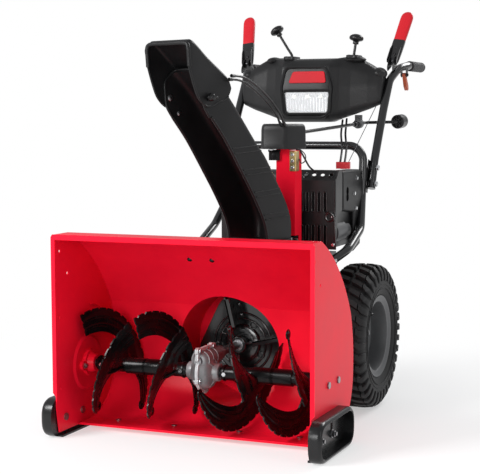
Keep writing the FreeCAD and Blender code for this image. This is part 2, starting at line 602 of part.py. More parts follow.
def make_chute():
    half = CHUTE_W / 2
    outline = REAR_WALL + [(232, 934), (274, 968), (290, 954), (308, 932), (303, 884)] + FRONT_EDGE
    block = chute_slab(outline, -half, half)
    hollow_rear = [(s + 3.2, z - 2.4) for s, z in REAR_WALL + [(232, 934), (274, 968)]]
    hollow_rear[0] = (REAR_WALL[0][0] + 4, 490)
    hollow = chute_slab(hollow_rear + [(420, 1000), (420, 880), (300, 780), (180, 600), (110, 490)],
                        -half + CHUTE_T, half - CHUTE_T)
    base = rod((CHUTE_X, CHUTE_Y, RING_Z), (CHUTE_X, CHUTE_Y, RING_Z + 4), RING_R)
    collar = rod((CHUTE_X, CHUTE_Y, RING_Z), (CHUTE_X, CHUTE_Y, RING_Z + 12), 84)
    bore = rod((CHUTE_X, CHUTE_Y, RING_Z - 5), (CHUTE_X, CHUTE_Y, RING_Z + 40), 72)
    front = chute_slab([(42, 503.5), (58, 503.5), (60, 516), (46, 516)], -half, half)
    arm = chute_slab([(184, 858), (206, 866), (206, 882), (190, 878)], half - 1, half + 26)
    post = chute_slab([(200, 862), (206, 862), (222, 958), (214, 960)], half + 7, half + 26)
    top_slots = [chute_rod(HINGE_S, HINGE_Z - 22, v, v + 9, 3) for v in (-half - 3, half - 6)]
    top_slots += [chute_rod(HINGE_S, HINGE_Z, v, v + 12, 4.1) for v in (-half - 3, half - 8)]
    cable_holes = [rod((x, 118, z), (x, 190, z), 5.2) for x, z in ((86, 951), (79, 942))]
    keep("chute", cut(join(block.cut(hollow), front, arm, post), *(top_slots + cable_holes)))
    keep("chute_ring", cut(join(base, collar), bore, block, front))


DEFLECTOR = [(205, 932), (213, 910), (235, 897), (262, 893), (HINGE_S - 16, 876), (HINGE_S + 10, 872),
             (328, 895), (345, 927), (363, 973), (367, 1030), (352, 1041), (330, 1030), (290, 1000),
             (240, 968), (210, 948)]


def make_deflector():
    half = CHUTE_W / 2 + 1.0
    solid = chute_slab(DEFLECTOR, -half - 4, half + 4)
    roof = [(207, 931), (213, 945), (242, 964.5), (292, 996.5), (332, 1026), (352, 1036.5), (362, 1030)]
    hollow = chute_slab(roof + [(420, 1030), (420, 850), (190, 850)], -half, half)
    pivot_holes = [chute_rod(HINGE_S, HINGE_Z, v, v + 20, 4.1) for v in (-half - 14, half - 6)]
    keep("deflector", cut(solid, hollow, *pivot_holes))
    knobs = []
    for side in (1, -1):
        v = side * (CHUTE_W / 2)
        spans = ((-8, 22, 4.05), (-8, -4.05, 8), (5.4, 22, 13))
        parts = [chute_rod(HINGE_S, HINGE_Z, v + side * d0, v + side * d1, r) for d0, d1, r in spans]
        knobs.append(join(*parts))
    keep("deflector_knobs", Part.makeCompound(knobs))


def make_chute_drive():
    """Support column, gear head and the shaft that turns the chute ring."""
    column = box(80, 136, 481, 534, FRAME_Z1, 752)
    channel = box(83, 133, 484, 540, FRAME_Z1 - 5, 760)
    window = box(70, 145, 470, 514, SEAT_Z - 8, RING_Z + 13)
    column = cut(column, channel, window)
    head = prism_z(HEAD_PLAN, 756, 826)
    head = head.makeFillet(9, [e for e in head.Edges if e.BoundBox.ZLength > 60])
    head = head.makeFillet(8, [e for e in head.Edges if e.BoundBox.ZMin > 825])
    inside = [(x + (4 if x < 100 else -5), y + (4 if y < 500 else -4)) for x, y in HEAD_PLAN]
    inner = prism_z(inside, 750, 822)
    rod_hole = rod((PINION_X, 530, 797), (PINION_X + 3, 560, 799), 9)
    keep("gear_cover", cut(head, inner, rod_hole))
    plate = box(80, 118, 481, 540, 752, 755.5)
    shaft_hole = rod((PINION_X, PINION_Y, 740), (PINION_X, PINION_Y, 780), 6.05)
    keep("chute_column", join(column, plate).cut(shaft_hole))
    pinion = join(rod((PINION_X, PINION_Y, RING_Z - 2), (PINION_X, PINION_Y, RING_Z + 6), PINION_R),
                  rod((PINION_X, PINION_Y, RING_Z - 8), (PINION_X, PINION_Y, 780), 6),
                  cone((PINION_X, PINION_Y, 764), (PINION_X, PINION_Y, 780), 18, 9))
    keep("chute_pinion", pinion)


CRANK_A = (PINION_X + 0.6, 517.0, 796.5)
CRANK_B = (153.9, 1078.0, 825.6)


def make_crank():
    a, b = V(*CRANK_A), V(*CRANK_B)
    along = b - a
    along.normalize()
    bevel = cone(tuple(a), tuple(a + along * 12), 6.5, 16)
    shaft = rod(tuple(a), tuple(b + along * 4), 5.0)
    arm_end = b + V(101, 0, 2)
    arm = rod(tuple(b - V(5, 0, 0)), tuple(arm_end), 5.0)
    stem = rod(tuple(arm_end - along * 4), tuple(arm_end + along * 52), 5.0)
    keep("chute_crank", join(shaft, bevel, arm, ball(tuple(b), 6), stem))
    k0, k1 = arm_end + along * 8, arm_end + along * 50
    knob = rod(tuple(k0), tuple(k1), 22)
    keep("crank_knob", knob.cut(rod(tuple(arm_end), tuple(k1 + along * 5), 5.05)))
    eye = a + along * 505.0
    strap = join(pipe(tuple(eye - along * 8), tuple(eye + along * 8), 15, 5.05),
                 box(eye.x - 11, eye.x + 11, eye.y - 5, eye.y + 5, eye.z + 9, 850))
    keep("crank_eyelet", strap)


# ---------------------------------------------------------------- engine

ENGINE_Y0 = 592.0
STARTER_X = 188.0
COVER_X = 222.0
SIDE_COVER = [(644, 690), (812, 688), (838, 650), (827, 561), (815, 462), (756, 446), (752, 562), (650, 574)]


def make_engine():
    deck = FRAME_Z1 + 0.05
    crank_hole = rod((0, ENGINE_Y0 - 5, CRANK_Z), (0, 900, CRANK_Z), 12.05)
    block = join(box(-92, 92, ENGINE_Y0, 788, deck, 600), rod((0, ENGINE_Y0, CRANK_Z), (0, 788, CRANK_Z), 80))
    long_edges = [e for e in block.Edges if e.BoundBox.YLength > 150 and e.BoundBox.ZMin > 450]
    block = block.makeFillet(6, long_edges[:2])
    for k in range(7):
        fin_y = 640 + 17 * k
        block = block.fuse(box(80, 176, fin_y, fin_y + 5, 546, 642))
    block = block.fuse(box(80, 168, 646, 740, 548, 634))
    keep("engine_block", block.cut(crank_hole))
    muffler = round_box(112, 200, 606, 638, 556, 655, 12)
    keep("muffler", muffler)
    wall = [(588, 466), (588, 664), (613, 692), (642, 692), (642, 689.5), (614, 689.5), (590.5, 663),
            (590.5, 466)]
    cheek = [(588, 480), (588, 664), (613, 692), (642, 692), (642, 576), (604, 562)]
    guard = join(slab_x(wall, 100, COVER_X - 1), slab_x(cheek, COVER_X - 3.5, COVER_X - 1))
    slots = []
    for row_z in (578, 484):
        for k in range(5):
            x = 116 + 18 * k
            top_z = row_z + 48
            slots += [box(x - 4, x + 4, 570, 600, row_z, top_z),
                      rod((x, 570, row_z), (x, 600, row_z), 4), rod((x, 570, top_z), (x, 600, top_z), 4)]
    for k in range(4):
        x = 124 + 26 * k
        slots.append(rod((x, 594, 690), (x, 612, 672), 7))
    boss = pipe((203, 583, 560), (203, 588.2, 560), 15, 8)
    keep("muffler_guard", join(cut(guard, *slots), boss))
    cover = slab_x(SIDE_COVER, COVER_X - 40, COVER_X)
    cover = cover.makeFillet(9, [e for e in cover.Edges if e.BoundBox.XMin > COVER_X - 1])
    inside = [(y + (5 if y < 735 else -5), z + (4.5 if z < 600 else -4.5)) for y, z in SIDE_COVER]
    hollow = slab_x(inside, COVER_X - 50, COVER_X - 5)
    window = [box(200, 240, 682, 696, 603, 636), rod((200, 689, 611), (240, 689, 611), 12),
              rod((200, 689, 629), (240, 689, 629), 12)]
    keep("side_cover", cut(cover, hollow, *window))
    x = STARTER_X
    starter = join(rod((x, 612, 512), (x, 700, 512), 33), rod((x, 700, 512), (x, 742, 512), 28),
                   rod((x, 604, 512), (x, 612, 512), 25), box(92.1, x - 10, 644, 690, 482, 505))
    keep("electric_starter", starter)
    shroud = join(rod((0, 792, 560), (0, 868, 560), 118), box(-118, 118, 792, 868, 444, 560))
    inner = rod((0, 797, CRANK_Z), (0, 863, CRANK_Z), 78)
    recoil = join(rod((0, 868, CRANK_Z), (0, 890, CRANK_Z), 72), box(-34, 34, 880, 903, 586, 602))
    shroud = cut(join(shroud, recoil), inner, rod((0, 785, CRANK_Z), (0, 800, CRANK_Z), 20))
    keep("engine_shroud", shroud)
    crank = join(rod((0, BELT_Y - 16.3, CRANK_Z), (0, 846, CRANK_Z), 12),
                 grooved_pulley((0, BELT_Y - 9, CRANK_Z), CRANK_PULLEY_R, 14, 11.0),
                 grooved_pulley((0, BELT_Y + 9, CRANK_Z), CRANK_PULLEY_R, 14, 11.0),
                 rod((0, 812, CRANK_Z), (0, 838, CRANK_Z), 70))
    keep("crankshaft", crank)
    tank = round_box(-176, 60, 622, 784, 612, 686, 18)
    keep("fuel_tank", join(tank, rod((-110, 700, 680), (-110, 700, 690), 24)))
    cap = rod((-110, 700, 690.4), (-110, 700, 712), 32)
    for k in range(12):
        a = math.radians(30 * k)
        cap = cap.cut(rod((-110 + 34 * math.cos(a), 700 + 34 * math.sin(a), 690),
                          (-110 + 34 * math.cos(a), 700 + 34 * math.sin(a), 713), 4))
    keep("fuel_cap", cap)
    lever = join(box(200, 240, 648, 660, 695.5, 715), box(200, 212, 648, 704, 695.5, 703),
                 rod((206, 698, 693), (206, 698, 703), 9))
    keep("throttle_lever", lever)


def make_belt_cover():
    outer = box(-112, 112, 534.5, 583, FRAME_Z1, 604)
    outer = outer.makeFillet(10, [e for e in outer.Edges if min(v.Point.z for v in e.Vertexes) > 600])
    inner = box(-108, 108, 538.5, 590, FRAME_Z1 - 1, 600)
    keep("belt_cover", outer.cut(inner))


# ---------------------------------------------------------------- handles and console

LOWER_HALF = [(LOWER_X, 858, 757), (LOWER_X, 842, 604), (LOWER_X + 20, 768, 512), (LOWER_X + 20, 650, 462),
              (198, 562, 422), (166, 506, 398)]
LOWER_ROUTE = [(x, y, z) for x, y, z in LOWER_HALF[::-1]] + [(-x, y, z) for x, y, z in LOWER_HALF]
UPPER_ROUTE = [(UPPER_X, 853, 628), (UPPER_X, 885, 714), (UPPER_X, 972, 862), (UPPER_X + 1, 1036, 958),
               (UPPER_X + 15, 1086, 996), (GRIP_X, 1134, GRIP_Z), (GRIP_X, 1296, GRIP_Z)]


def make_handles():
    radii = [60, 70, 70, 60, 48, 48, 60, 70, 70, 60]
    keep("lower_handle", bent_rod(LOWER_ROUTE, PIPE_R, radii, "lower_handle"))
    upper = bent_rod(UPPER_ROUTE, PIPE_R, [120, 140, 70, 70, 70], "upper_handle")
    keep("upper_handles", Part.makeCompound([upper, mirror_x(upper)]))
    grip = pipe((GRIP_X, 1160, GRIP_Z), (GRIP_X, 1299, GRIP_Z), GRIP_R, PIPE_R)
    end = rod((GRIP_X, 1296.2, GRIP_Z), (GRIP_X, 1300, GRIP_Z), GRIP_R)
    grip = join(grip, end)
    keep("grips", Part.makeCompound([grip, mirror_x(grip)]))


# (x, [(y, z) ...]) half sections of the dashboard from the middle out
CONSOLE = [
    (0, [(950, 828), (930, 842), (926, 930), (938, 1004), (962, 1024),
          (1040, 1030), (1064, 1000), (1056, 900), (1010, 828)]),
    (78, [(950, 828), (930, 844), (926, 930), (938, 1004), (964, 1024),
          (1040, 1030), (1064, 1000), (1056, 900), (1010, 829)]),
    (104, [(964, 838), (948, 856), (944, 934), (956, 1004), (978, 1028),
          (1040, 1034), (1064, 1000), (1056, 904), (1014, 840)]),
    (140, [(974, 850), (960, 868), (958, 936), (968, 996), (986, 1030),
          (1040, 1034), (1062, 996), (1054, 910), (1018, 852)]),
    (190, [(984, 866), (972, 882), (970, 940), (978, 980), (994, 1006),
          (1040, 1008), (1056, 980), (1050, 916), (1022, 870)]),
    (228, [(992, 882), (984, 894), (982, 940), (988, 968), (1000, 982),
          (1036, 984), (1048, 964), (1044, 922), (1024, 886)])]


def console_block(grow):
    """Faceted block through the console's sections, each pulled in by grow."""
    sections = []
    for x, pts in [(-x, p) for x, p in CONSOLE[:0:-1]] + CONSOLE:
        cy = sum(p[0] for p in pts) / len(pts)
        cz = sum(p[1] for p in pts) / len(pts)
        ring = []
        for y, z in pts:
            d = math.hypot(y - cy, z - cz)
            ring.append(V(x, y - (y - cy) / d * grow, z - (z - cz) / d * grow))
        sections.append(ring)
    faces = [face_of([tuple(p) for p in sections[0]]), face_of([tuple(p) for p in sections[-1]])]
    n = len(sections[0])
    for a, b in zip(sections, sections[1:]):
        for i in range(n):
            j = (i + 1) % n
            faces.append(face_of([tuple(a[i]), tuple(a[j]), tuple(b[j])]))
            faces.append(face_of([tuple(a[i]), tuple(b[j]), tuple(b[i])]))
    return Part.makeSolid(Part.makeShell(faces))


def make_console():
    body = console_block(0)
    inner = console_block(5).common(box(-222, 222, 900, 1100, 800, 1100))
    open_back = box(-200, 200, 1012, 1100, 830, 985)
    lamp = slab_y([(-66, 860), (80, 860), (84, 928), (-70, 928)], 915, 940)
    wells = [box(-77, -61, 962, 1040, 1015, 1045), box(131, 147, 962, 1040, 1015, 1045)]
    crank_gap = rod((150, 980, 822), (150, 1100, 824), 20)
    keep("console", cut(body, inner, open_back.common(console_block(5.01)), lamp, crank_gap, *wells))
    lens = slab_y([(-65.5, 860.5), (79.5, 860.5), (83.5, 927.5), (-69.5, 927.5)], 929, 934)
    keep("headlight", lens)


def lever_blade(base, top, width, thick, over):
    """Flat lever with rounded ends along base-top, its face towards +Y."""
    b, t = V(*base), V(*top)
    along = t - b
    length = along.Length
    along.normalize()
    r, deep, shoulder = width / 2, thick / 2, length - width / 2
    blade = box(-r, r, -deep, deep, -over, shoulder)
    blade = blade.fuse(rod((0, -deep, shoulder), (0, deep, shoulder), r))
    tilt_x = math.degrees(math.atan2(along.y, along.z))
    lean = math.degrees(math.asin(along.x))
    blade.rotate(V(0, 0, 0), V(0, 1, 0), lean)
    blade.rotate(V(0, 0, 0), V(1, 0, 0), -tilt_x)
    blade.translate(b)
    return blade


TRIGGER_PIVOT = (1110.0, 976.0)


def make_controls():
    pivot = (LEVER_PIVOT_X, LEVER_PIVOT_Y, LEVER_PIVOT_Z)
    blade = lever_blade(pivot, (GRIP_X + 1, 1145, 1175), 40, 11, 12).removeSplitter()
    keep("clutch_lever_left", blade)
    keep("clutch_lever_right", mirror_x(blade))
    trigger = join(rod((GRIP_X - 9, *TRIGGER_PIVOT), (GRIP_X + 3, *TRIGGER_PIVOT), 6),
                   slab_x([(1106, 974), (1114, 972), (1140, 944), (1144, 932), (1136, 926), (1122, 940)],
                          GRIP_X - 8, GRIP_X + 2))
    keep("steering_trigger_left", trigger)
    keep("steering_trigger_right", mirror_x(trigger))
    shift = join(rod((-69, 1000, 975), (-69, 1000, 1040), 4), rod((-69, 1000, 1038), (-113, 1004, 1106), 4),
                 ball((-69, 1000, 1039), 4), rod((-61, 1000, 985), (-77, 1000, 985), 7),
                 cone((-110, 1003.7, 1101), (-116, 1004.3, 1110), 8, 12), ball((-119, 1004.6, 1118), 17))
    keep("shift_lever", shift)
    pitch = join(rod((139, 1000, 975), (139, 1000, 1040), 4), rod((139, 1000, 1038), (143, 1003, 1076), 4),
                 ball((139, 1000, 1039), 4), rod((131, 1000, 985), (147, 1000, 985), 7),
                 cone((142.5, 1002.6, 1068), (144, 1003.3, 1078), 8, 12), ball((145, 1004, 1088), 18))
    keep("pitch_lever", pitch)


PITCH_CABLE = [(86, 150, 951), (94, 205, 949), (101, 262, 934), (106, 318, 912), (110, 372, 886),
               (113, 424, 854), (114, 446, 833)]
DRIVE_CABLE = [(105, 992, 834), (112, 963, 814), (134, 888, 790), (168, 800, 752), (184, 740, 722),
               (188, 712, 696)]


def make_cables():
    first = bent_rod(PITCH_CABLE, 3.2, None, "pitch_cable")
    second = bent_rod([(x - 8, y + 2, z - 9) for x, y, z in PITCH_CABLE[:-1]] + [(105, 440, 832)], 3.2, None,
                      "pitch_cable_2")
    keep("pitch_cables", Part.makeCompound([first, second]))
    third = bent_rod(DRIVE_CABLE, 3.2, None, "control_cable")
    beside = [(119, 990, 838)] + [(x + 14, y, z + 1) for x, y, z in DRIVE_CABLE[1:]]
    fourth = bent_rod(beside, 3.2, None, "control_cable_2")
    keep("control_cables", Part.makeCompound([third, fourth]))


for make in (make_housing, make_drum, make_scraper, make_housing_bolts, make_bearings, make_auger,
             make_gearbox, make_impeller, make_belts, make_chassis, make_drive, make_wheels, make_skids,
             make_chute,
             make_deflector, make_chute_drive, make_crank, make_engine, make_belt_cover, make_handles,
             make_console, make_controls, make_cables):
    make()
for node, shape in SHAPES.items():
    shape.translate(V(0, -Y_MID, 0))
    bb = shape.BoundBox
    print(node, shape.ShapeType, shape.isValid(), len(shape.Solids), round(shape.Volume / 1000, 1),
          [round(v) for v in (bb.XMin, bb.XMax, bb.YMin, bb.YMax, bb.ZMin, bb.ZMax)])
    shape.exportStep("parts/" + node + ".step")
print(len(SHAPES), "nodes")
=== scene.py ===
"""Two stage snowblower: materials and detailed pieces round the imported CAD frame.

Lengths are design millimetres: x to the machine's left, y back from the housing's front edge, z up.
P() turns them into frame metres.
"""
from math import copysign, cos, hypot, pi, radians, sin, sqrt, tau

import bpy
import bmesh
from mathutils import Matrix, Vector


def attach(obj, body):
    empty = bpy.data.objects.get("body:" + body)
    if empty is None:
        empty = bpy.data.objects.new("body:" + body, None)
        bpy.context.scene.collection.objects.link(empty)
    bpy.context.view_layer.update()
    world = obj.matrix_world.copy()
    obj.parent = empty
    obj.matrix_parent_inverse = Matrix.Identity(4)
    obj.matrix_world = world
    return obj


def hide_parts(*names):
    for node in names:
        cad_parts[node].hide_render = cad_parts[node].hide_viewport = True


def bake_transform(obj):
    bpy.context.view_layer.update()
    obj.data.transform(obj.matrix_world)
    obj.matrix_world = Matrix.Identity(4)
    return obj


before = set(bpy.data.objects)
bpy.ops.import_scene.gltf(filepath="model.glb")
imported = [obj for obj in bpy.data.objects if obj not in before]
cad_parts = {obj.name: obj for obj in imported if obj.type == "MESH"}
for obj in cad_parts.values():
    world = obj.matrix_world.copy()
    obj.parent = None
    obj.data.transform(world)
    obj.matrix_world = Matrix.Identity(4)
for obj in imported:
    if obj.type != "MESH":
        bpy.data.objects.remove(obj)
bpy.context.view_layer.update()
scene = bpy.context.scene
scene.view_settings.view_transform = "Standard"

Y_MID = 637.5
NAMES = {1: "left", -1: "right"}
ACROSS, BACK, FRONT, UP = (1, 0, 0), (0, 1, 0), (0, -1, 0), (0, 0, 1)


def P(x, y, z):
    """Frame metres of a point in design millimetres."""
    return Vector((x / 1000, (y - Y_MID) / 1000, z / 1000))


def wiring(nt):
    """Functions that add a node to a node tree and link two of its nodes."""
    def node(kind, **values):
        n = nt.nodes.new(kind)
        for key, value in values.items():
            if key in n.inputs:
                n.inputs[key].default_value = value
            else:
                setattr(n, key, value)
        return n

    def link(a, out, b, into):
        nt.links.new(a.outputs[out], b.inputs[into])
    return node, link


# ---------------------------------------------------------------- camera, lights, floor

CAMERA_AT = (1.4285, -3.6113, 0.8501)
CAMERA_AZIMUTH, CAMERA_RISE, CAMERA_ROLL = 22.906, 5.274, -0.172
LENS_MM, SENSOR_MM = 98.9, 36.0


def make_camera():
    az, el, roll = radians(CAMERA_AZIMUTH), radians(CAMERA_RISE), radians(CAMERA_ROLL)
    back = Vector((sin(az) * cos(el), -cos(az) * cos(el), sin(el)))
    data = bpy.data.cameras.new("camera")
    data.sensor_width = SENSOR_MM
    data.lens = LENS_MM
    data.clip_start, data.clip_end = 0.1, 50
    cam = bpy.data.objects.new("camera", data)
    cam.location = CAMERA_AT
    cam.rotation_mode = "QUATERNION"
    turn = (-back).to_track_quat("-Z", "Y")
    cam.rotation_quaternion = turn @ Matrix.Rotation(roll, 4, "Z").to_quaternion()
    scene.collection.objects.link(cam)
    scene.camera = cam


def area_light(name, at, to, size, power):
    data = bpy.data.lights.new(name, "AREA")
    data.shape = "RECTANGLE"
    data.size, data.size_y = size
    data.energy = power
    ob = bpy.data.objects.new(name, data)
    ob.location = at
    ob.rotation_mode = "QUATERNION"
    ob.rotation_quaternion = (Vector(to) - Vector(at)).to_track_quat("-Z", "Y")
    scene.collection.objects.link(ob)


# the paper's own glow at the object and far out, and the distances in metres between which it grows
FADE_LEAST, FADE_START, FADE_END = 0.45, 0.55, 1.5
FLOOR_HALF = 30


def make_studio():
    """White surround for the camera, dimmer light on the object, and a paper floor that fades to white."""
    world = bpy.data.worlds.new("studio")
    world.use_nodes = True
    nodes = world.node_tree.nodes
    node, link = wiring(world.node_tree)
    soft = nodes["Background"]
    soft.inputs["Color"].default_value = (0.97, 0.98, 1.0, 1)
    soft.inputs["Strength"].default_value = 0.5
    mix = node("ShaderNodeMixShader")
    link(node("ShaderNodeLightPath"), "Is Camera Ray", mix, 0)
    link(soft, 0, mix, 1)
    link(node("ShaderNodeBackground", Color=(1, 1, 1, 1)), 0, mix, 2)
    link(mix, 0, nodes["World Output"], "Surface")
    scene.world = world
    area_light("key", (-2.3, -3.3, 2.5), (0.1, -0.3, 0.35), (1.7, 1.5), 185)
    area_light("fill", (3.4, -1.6, 1.5), (0.1, 0.1, 0.5), (1.2, 2.0), 13)
    area_light("front", (0.2, -3.7, 1.0), (0.0, -0.3, 0.3), (1.5, 0.9), 42)
    area_light("rim", (1.4, 2.8, 2.9), (0.0, 0.0, 0.6), (2.2, 1.2), 70)
    me = bpy.data.meshes.new("floor")
    me.from_pydata([(x * FLOOR_HALF, y * FLOOR_HALF, 0) for x, y in ((-1, -1), (1, -1), (1, 1), (-1, 1))], [],
                   [(0, 1, 2, 3)])
    floor = bpy.data.objects.new("floor", me)
    scene.collection.objects.link(floor)
    paper = surface("floor_paper", (0.93, 0.93, 0.93), 0.6, tint=0.01, tint_scale=1.5, bump=0.02)
    nodes = paper.node_tree.nodes
    node, link = wiring(paper.node_tree)
    far = node("ShaderNodeVectorMath", operation="LENGTH")
    link(node("ShaderNodeTexCoord"), "Object", far, 0)
    fade = node("ShaderNodeMapRange", **{"From Min": FADE_START, "From Max": FADE_END, "To Min": FADE_LEAST})
    link(far, "Value", fade, "Value")
    blend = node("ShaderNodeMixShader")
    link(fade, "Result", blend, 0)
    link(nodes["Principled BSDF"], 0, blend, 1)
    link(node("ShaderNodeEmission"), 0, blend, 2)
    link(blend, 0, nodes["Material Output"], "Surface")
    me.materials.append(paper)


# ---------------------------------------------------------------- materials

DUST_COLOUR, COAT_ROUGHNESS = (0.42, 0.41, 0.40, 1), 0.12


def surface(name, color, rough, metal=0.0, coat=0.0, tint=0.08, tint_scale=9.0, speck=0.0, bump=0.1,
            bump_scale=420.0, rough_var=0.08, stretch=(1, 1, 1), dust=0.0, alpha=1.0, sheen=0.0, spec=0.5):
    """Painted, moulded or machined surface: drifting tone, fine grain in the bump and uneven gloss."""
    mat = bpy.data.materials.new(name)
    mat.use_nodes = True
    nt = mat.node_tree
    bsdf = nt.nodes["Principled BSDF"]
    node, link = wiring(nt)
    coords = node("ShaderNodeTexCoord")
    mapping = node("ShaderNodeMapping")
    mapping.inputs["Scale"].default_value = stretch
    link(coords, "Object", mapping, "Vector")
    drift = node("ShaderNodeTexNoise", Scale=tint_scale, Detail=5.0, Roughness=0.6)
    grain = node("ShaderNodeTexNoise", Scale=bump_scale, Detail=3.0, Roughness=0.55)
    link(mapping, "Vector", drift, "Vector")
    link(mapping, "Vector", grain, "Vector")
    lo = [max(0.0, c * (1 - tint)) for c in color] + [1]
    hi = [min(1.0, c * (1 + tint) + 0.002) for c in color] + [1]
    tone = node("ShaderNodeValToRGB")
    first, last = tone.color_ramp.elements
    first.position, last.position = 0.3, 0.7
    first.color, last.color = lo, hi
    link(drift, "Fac", tone, "Fac")
    tones = [(tone, "Color")]

    def overlay(mask, out, colour):
        """Lay a colour over the tone so far where the mask is high."""
        mix = node("ShaderNodeMix", data_type="RGBA")
        mix.inputs[7].default_value = colour
        link(mask, out, mix, 0)
        link(*tones[-1], mix, 6)
        tones.append((mix, 2))
    if speck:
        fleck = node("ShaderNodeTexNoise", Scale=bump_scale * 0.6, Detail=2.0, Roughness=0.7)
        link(mapping, "Vector", fleck, "Vector")
        ramp = node("ShaderNodeValToRGB")
        first, last = ramp.color_ramp.elements
        first.position, last.position = 0.55, 0.75
        first.color, last.color = (0, 0, 0, 1), (speck, speck, speck, 1)
        link(fleck, "Fac", ramp, "Fac")
        overlay(ramp, "Color", [min(1.0, c * 1.6 + 0.05) for c in color] + [1])
    if dust:
        split = node("ShaderNodeSeparateXYZ")
        link(node("ShaderNodeNewGeometry"), "Normal", split, "Vector")
        lift = node("ShaderNodeMapRange", **{"From Min": 0.2, "From Max": 1.0, "To Max": dust})
        link(split, "Z", lift, "Value")
        cloud = node("ShaderNodeMath", operation="MULTIPLY")
        link(lift, "Result", cloud, 0)
        link(drift, "Fac", cloud, 1)
        overlay(cloud, 0, DUST_COLOUR)
    link(*tones[-1], bsdf, "Base Color")
    gloss = node("ShaderNodeMapRange", **{"To Min": max(0.02, rough - rough_var),
                                          "To Max": min(1.0, rough + rough_var)})
    link(drift, "Fac", gloss, "Value")
    link(gloss, "Result", bsdf, "Roughness")
    relief = node("ShaderNodeBump", Strength=bump, Distance=0.0004)
    link(grain, "Fac", relief, "Height")
    link(relief, "Normal", bsdf, "Normal")
    for socket, value in (("Metallic", metal), ("Coat Weight", coat), ("Coat Roughness", COAT_ROUGHNESS),
                          ("Alpha", alpha), ("Sheen Weight", sheen), ("Specular IOR Level", spec)):
        bsdf.inputs[socket].default_value = value
    mat.diffuse_color = (*color, 1)
    return mat


RED = surface("red_powder_coat", (0.80, 0.006, 0.026), 0.32, coat=0.0, tint=0.05, bump=0.12, bump_scale=260,
              spec=0.1)
BLACK_PAINT = surface("black_powder_coat", (0.007, 0.007, 0.0075), 0.34, coat=0.1, tint=0.25, bump=0.15,
                      bump_scale=330, spec=0.28)
AUGER_BLACK = surface("auger_black_enamel", (0.002, 0.002, 0.0022), 0.27, coat=0.05, tint=0.2, bump=0.12,
                      bump_scale=240, spec=0.16)
GLOSS_BLACK = surface("gloss_black_enamel", (0.004, 0.004, 0.0045), 0.20, coat=0.5, tint=0.2, bump=0.12,
                      bump_scale=240, spec=0.5)
GREY_PAINT = surface("grey_wheel_paint", (0.085, 0.087, 0.090), 0.42, metal=0.2, tint=0.1, bump=0.15, speck=0.1)
BLACK_PLASTIC = surface("black_grained_plastic", (0.009, 0.009, 0.0095), 0.42, tint=0.2, bump=0.45,
                        bump_scale=900, rough_var=0.06, spec=0.27)
CHUTE_PLASTIC = surface("black_chute_plastic", (0.006, 0.006, 0.0065), 0.42, tint=0.25, bump=0.3,
                        bump_scale=700, rough_var=0.07, spec=0.24)
SMOOTH_PLASTIC = surface("black_smooth_plastic", (0.006, 0.006, 0.0065), 0.26, tint=0.2, bump=0.1,
                         bump_scale=500, spec=0.34)
RED_PLASTIC = surface("red_moulding", (0.50, 0.007, 0.015), 0.26, tint=0.05, bump=0.1, bump_scale=500, spec=0.4)
BADGE_RED = surface("badge_red", (0.46, 0.006, 0.014), 0.5, tint=0.05, bump=0.1, bump_scale=500, spec=0.15)
AMBER_PLASTIC = surface("orange_brown_moulding", (0.38, 0.075, 0.03), 0.4, tint=0.12, bump=0.2)
GRIP_RUBBER = surface("grip_rubber", (0.026, 0.026, 0.028), 0.6, tint=0.15, bump=0.5, bump_scale=1100,
                      sheen=0.15, spec=0.4)
TYRE_RUBBER = surface("tyre_rubber", (0.010, 0.010, 0.0105), 0.6, tint=0.3, tint_scale=30, bump=0.5,
                      bump_scale=700, dust=0.012, spec=0.28)
BELT_RUBBER = surface("belt_rubber", (0.016, 0.016, 0.016), 0.72, tint=0.2, bump=0.4, bump_scale=800)
CABLE_JACKET = surface("cable_jacket", (0.008, 0.008, 0.009), 0.3, tint=0.15, bump=0.1, spec=0.4)
CAST_ALU = surface("cast_aluminium", (0.60, 0.60, 0.61), 0.42, metal=0.45, tint=0.14, tint_scale=25, speck=0.2,
                   bump=0.7, bump_scale=520, rough_var=0.12)
DARK_CAST = surface("painted_casting", (0.20, 0.20, 0.205), 0.42, metal=0.3, tint=0.2, tint_scale=30,
                    speck=0.12, bump=0.6, bump_scale=480, rough_var=0.1)
STEEL = surface("machined_steel", (0.33, 0.33, 0.34), 0.33, metal=1.0, tint=0.15, tint_scale=30, bump=0.15,
                stretch=(1, 12, 1), rough_var=0.12)
DARK_STEEL = surface("oiled_steel", (0.05, 0.05, 0.053), 0.3, metal=0.9, tint=0.3, tint_scale=40, bump=0.3,
                     rough_var=0.1)
ZINC = surface("yellow_zinc", (0.56, 0.44, 0.20), 0.30, metal=1.0, tint=0.18, tint_scale=60, bump=0.15)
BRIGHT = surface("bright_zinc", (0.72, 0.73, 0.74), 0.26, metal=1.0, tint=0.1, tint_scale=60, bump=0.12)
CHROME = surface("lamp_reflector", (0.72, 0.73, 0.74), 0.2, metal=0.6, tint=0.05, tint_scale=60, bump=0.1)
LENS = surface("lamp_lens", (0.93, 0.95, 0.97), 0.06, tint=0.02, bump=0.03, alpha=0.08)
# painted reflection: a faint white emission makes the unlit chrome reflector glow as if it caught the light
reflector_painted_glow = CHROME.node_tree.nodes["Principled BSDF"].inputs
reflector_painted_glow["Emission Color"].default_value = (1, 1, 1, 1)
reflector_painted_glow["Emission Strength"].default_value = 0.06
LED = surface("lamp_emitter", (0.95, 0.95, 0.90), 0.2, tint=0.03, bump=0.05)

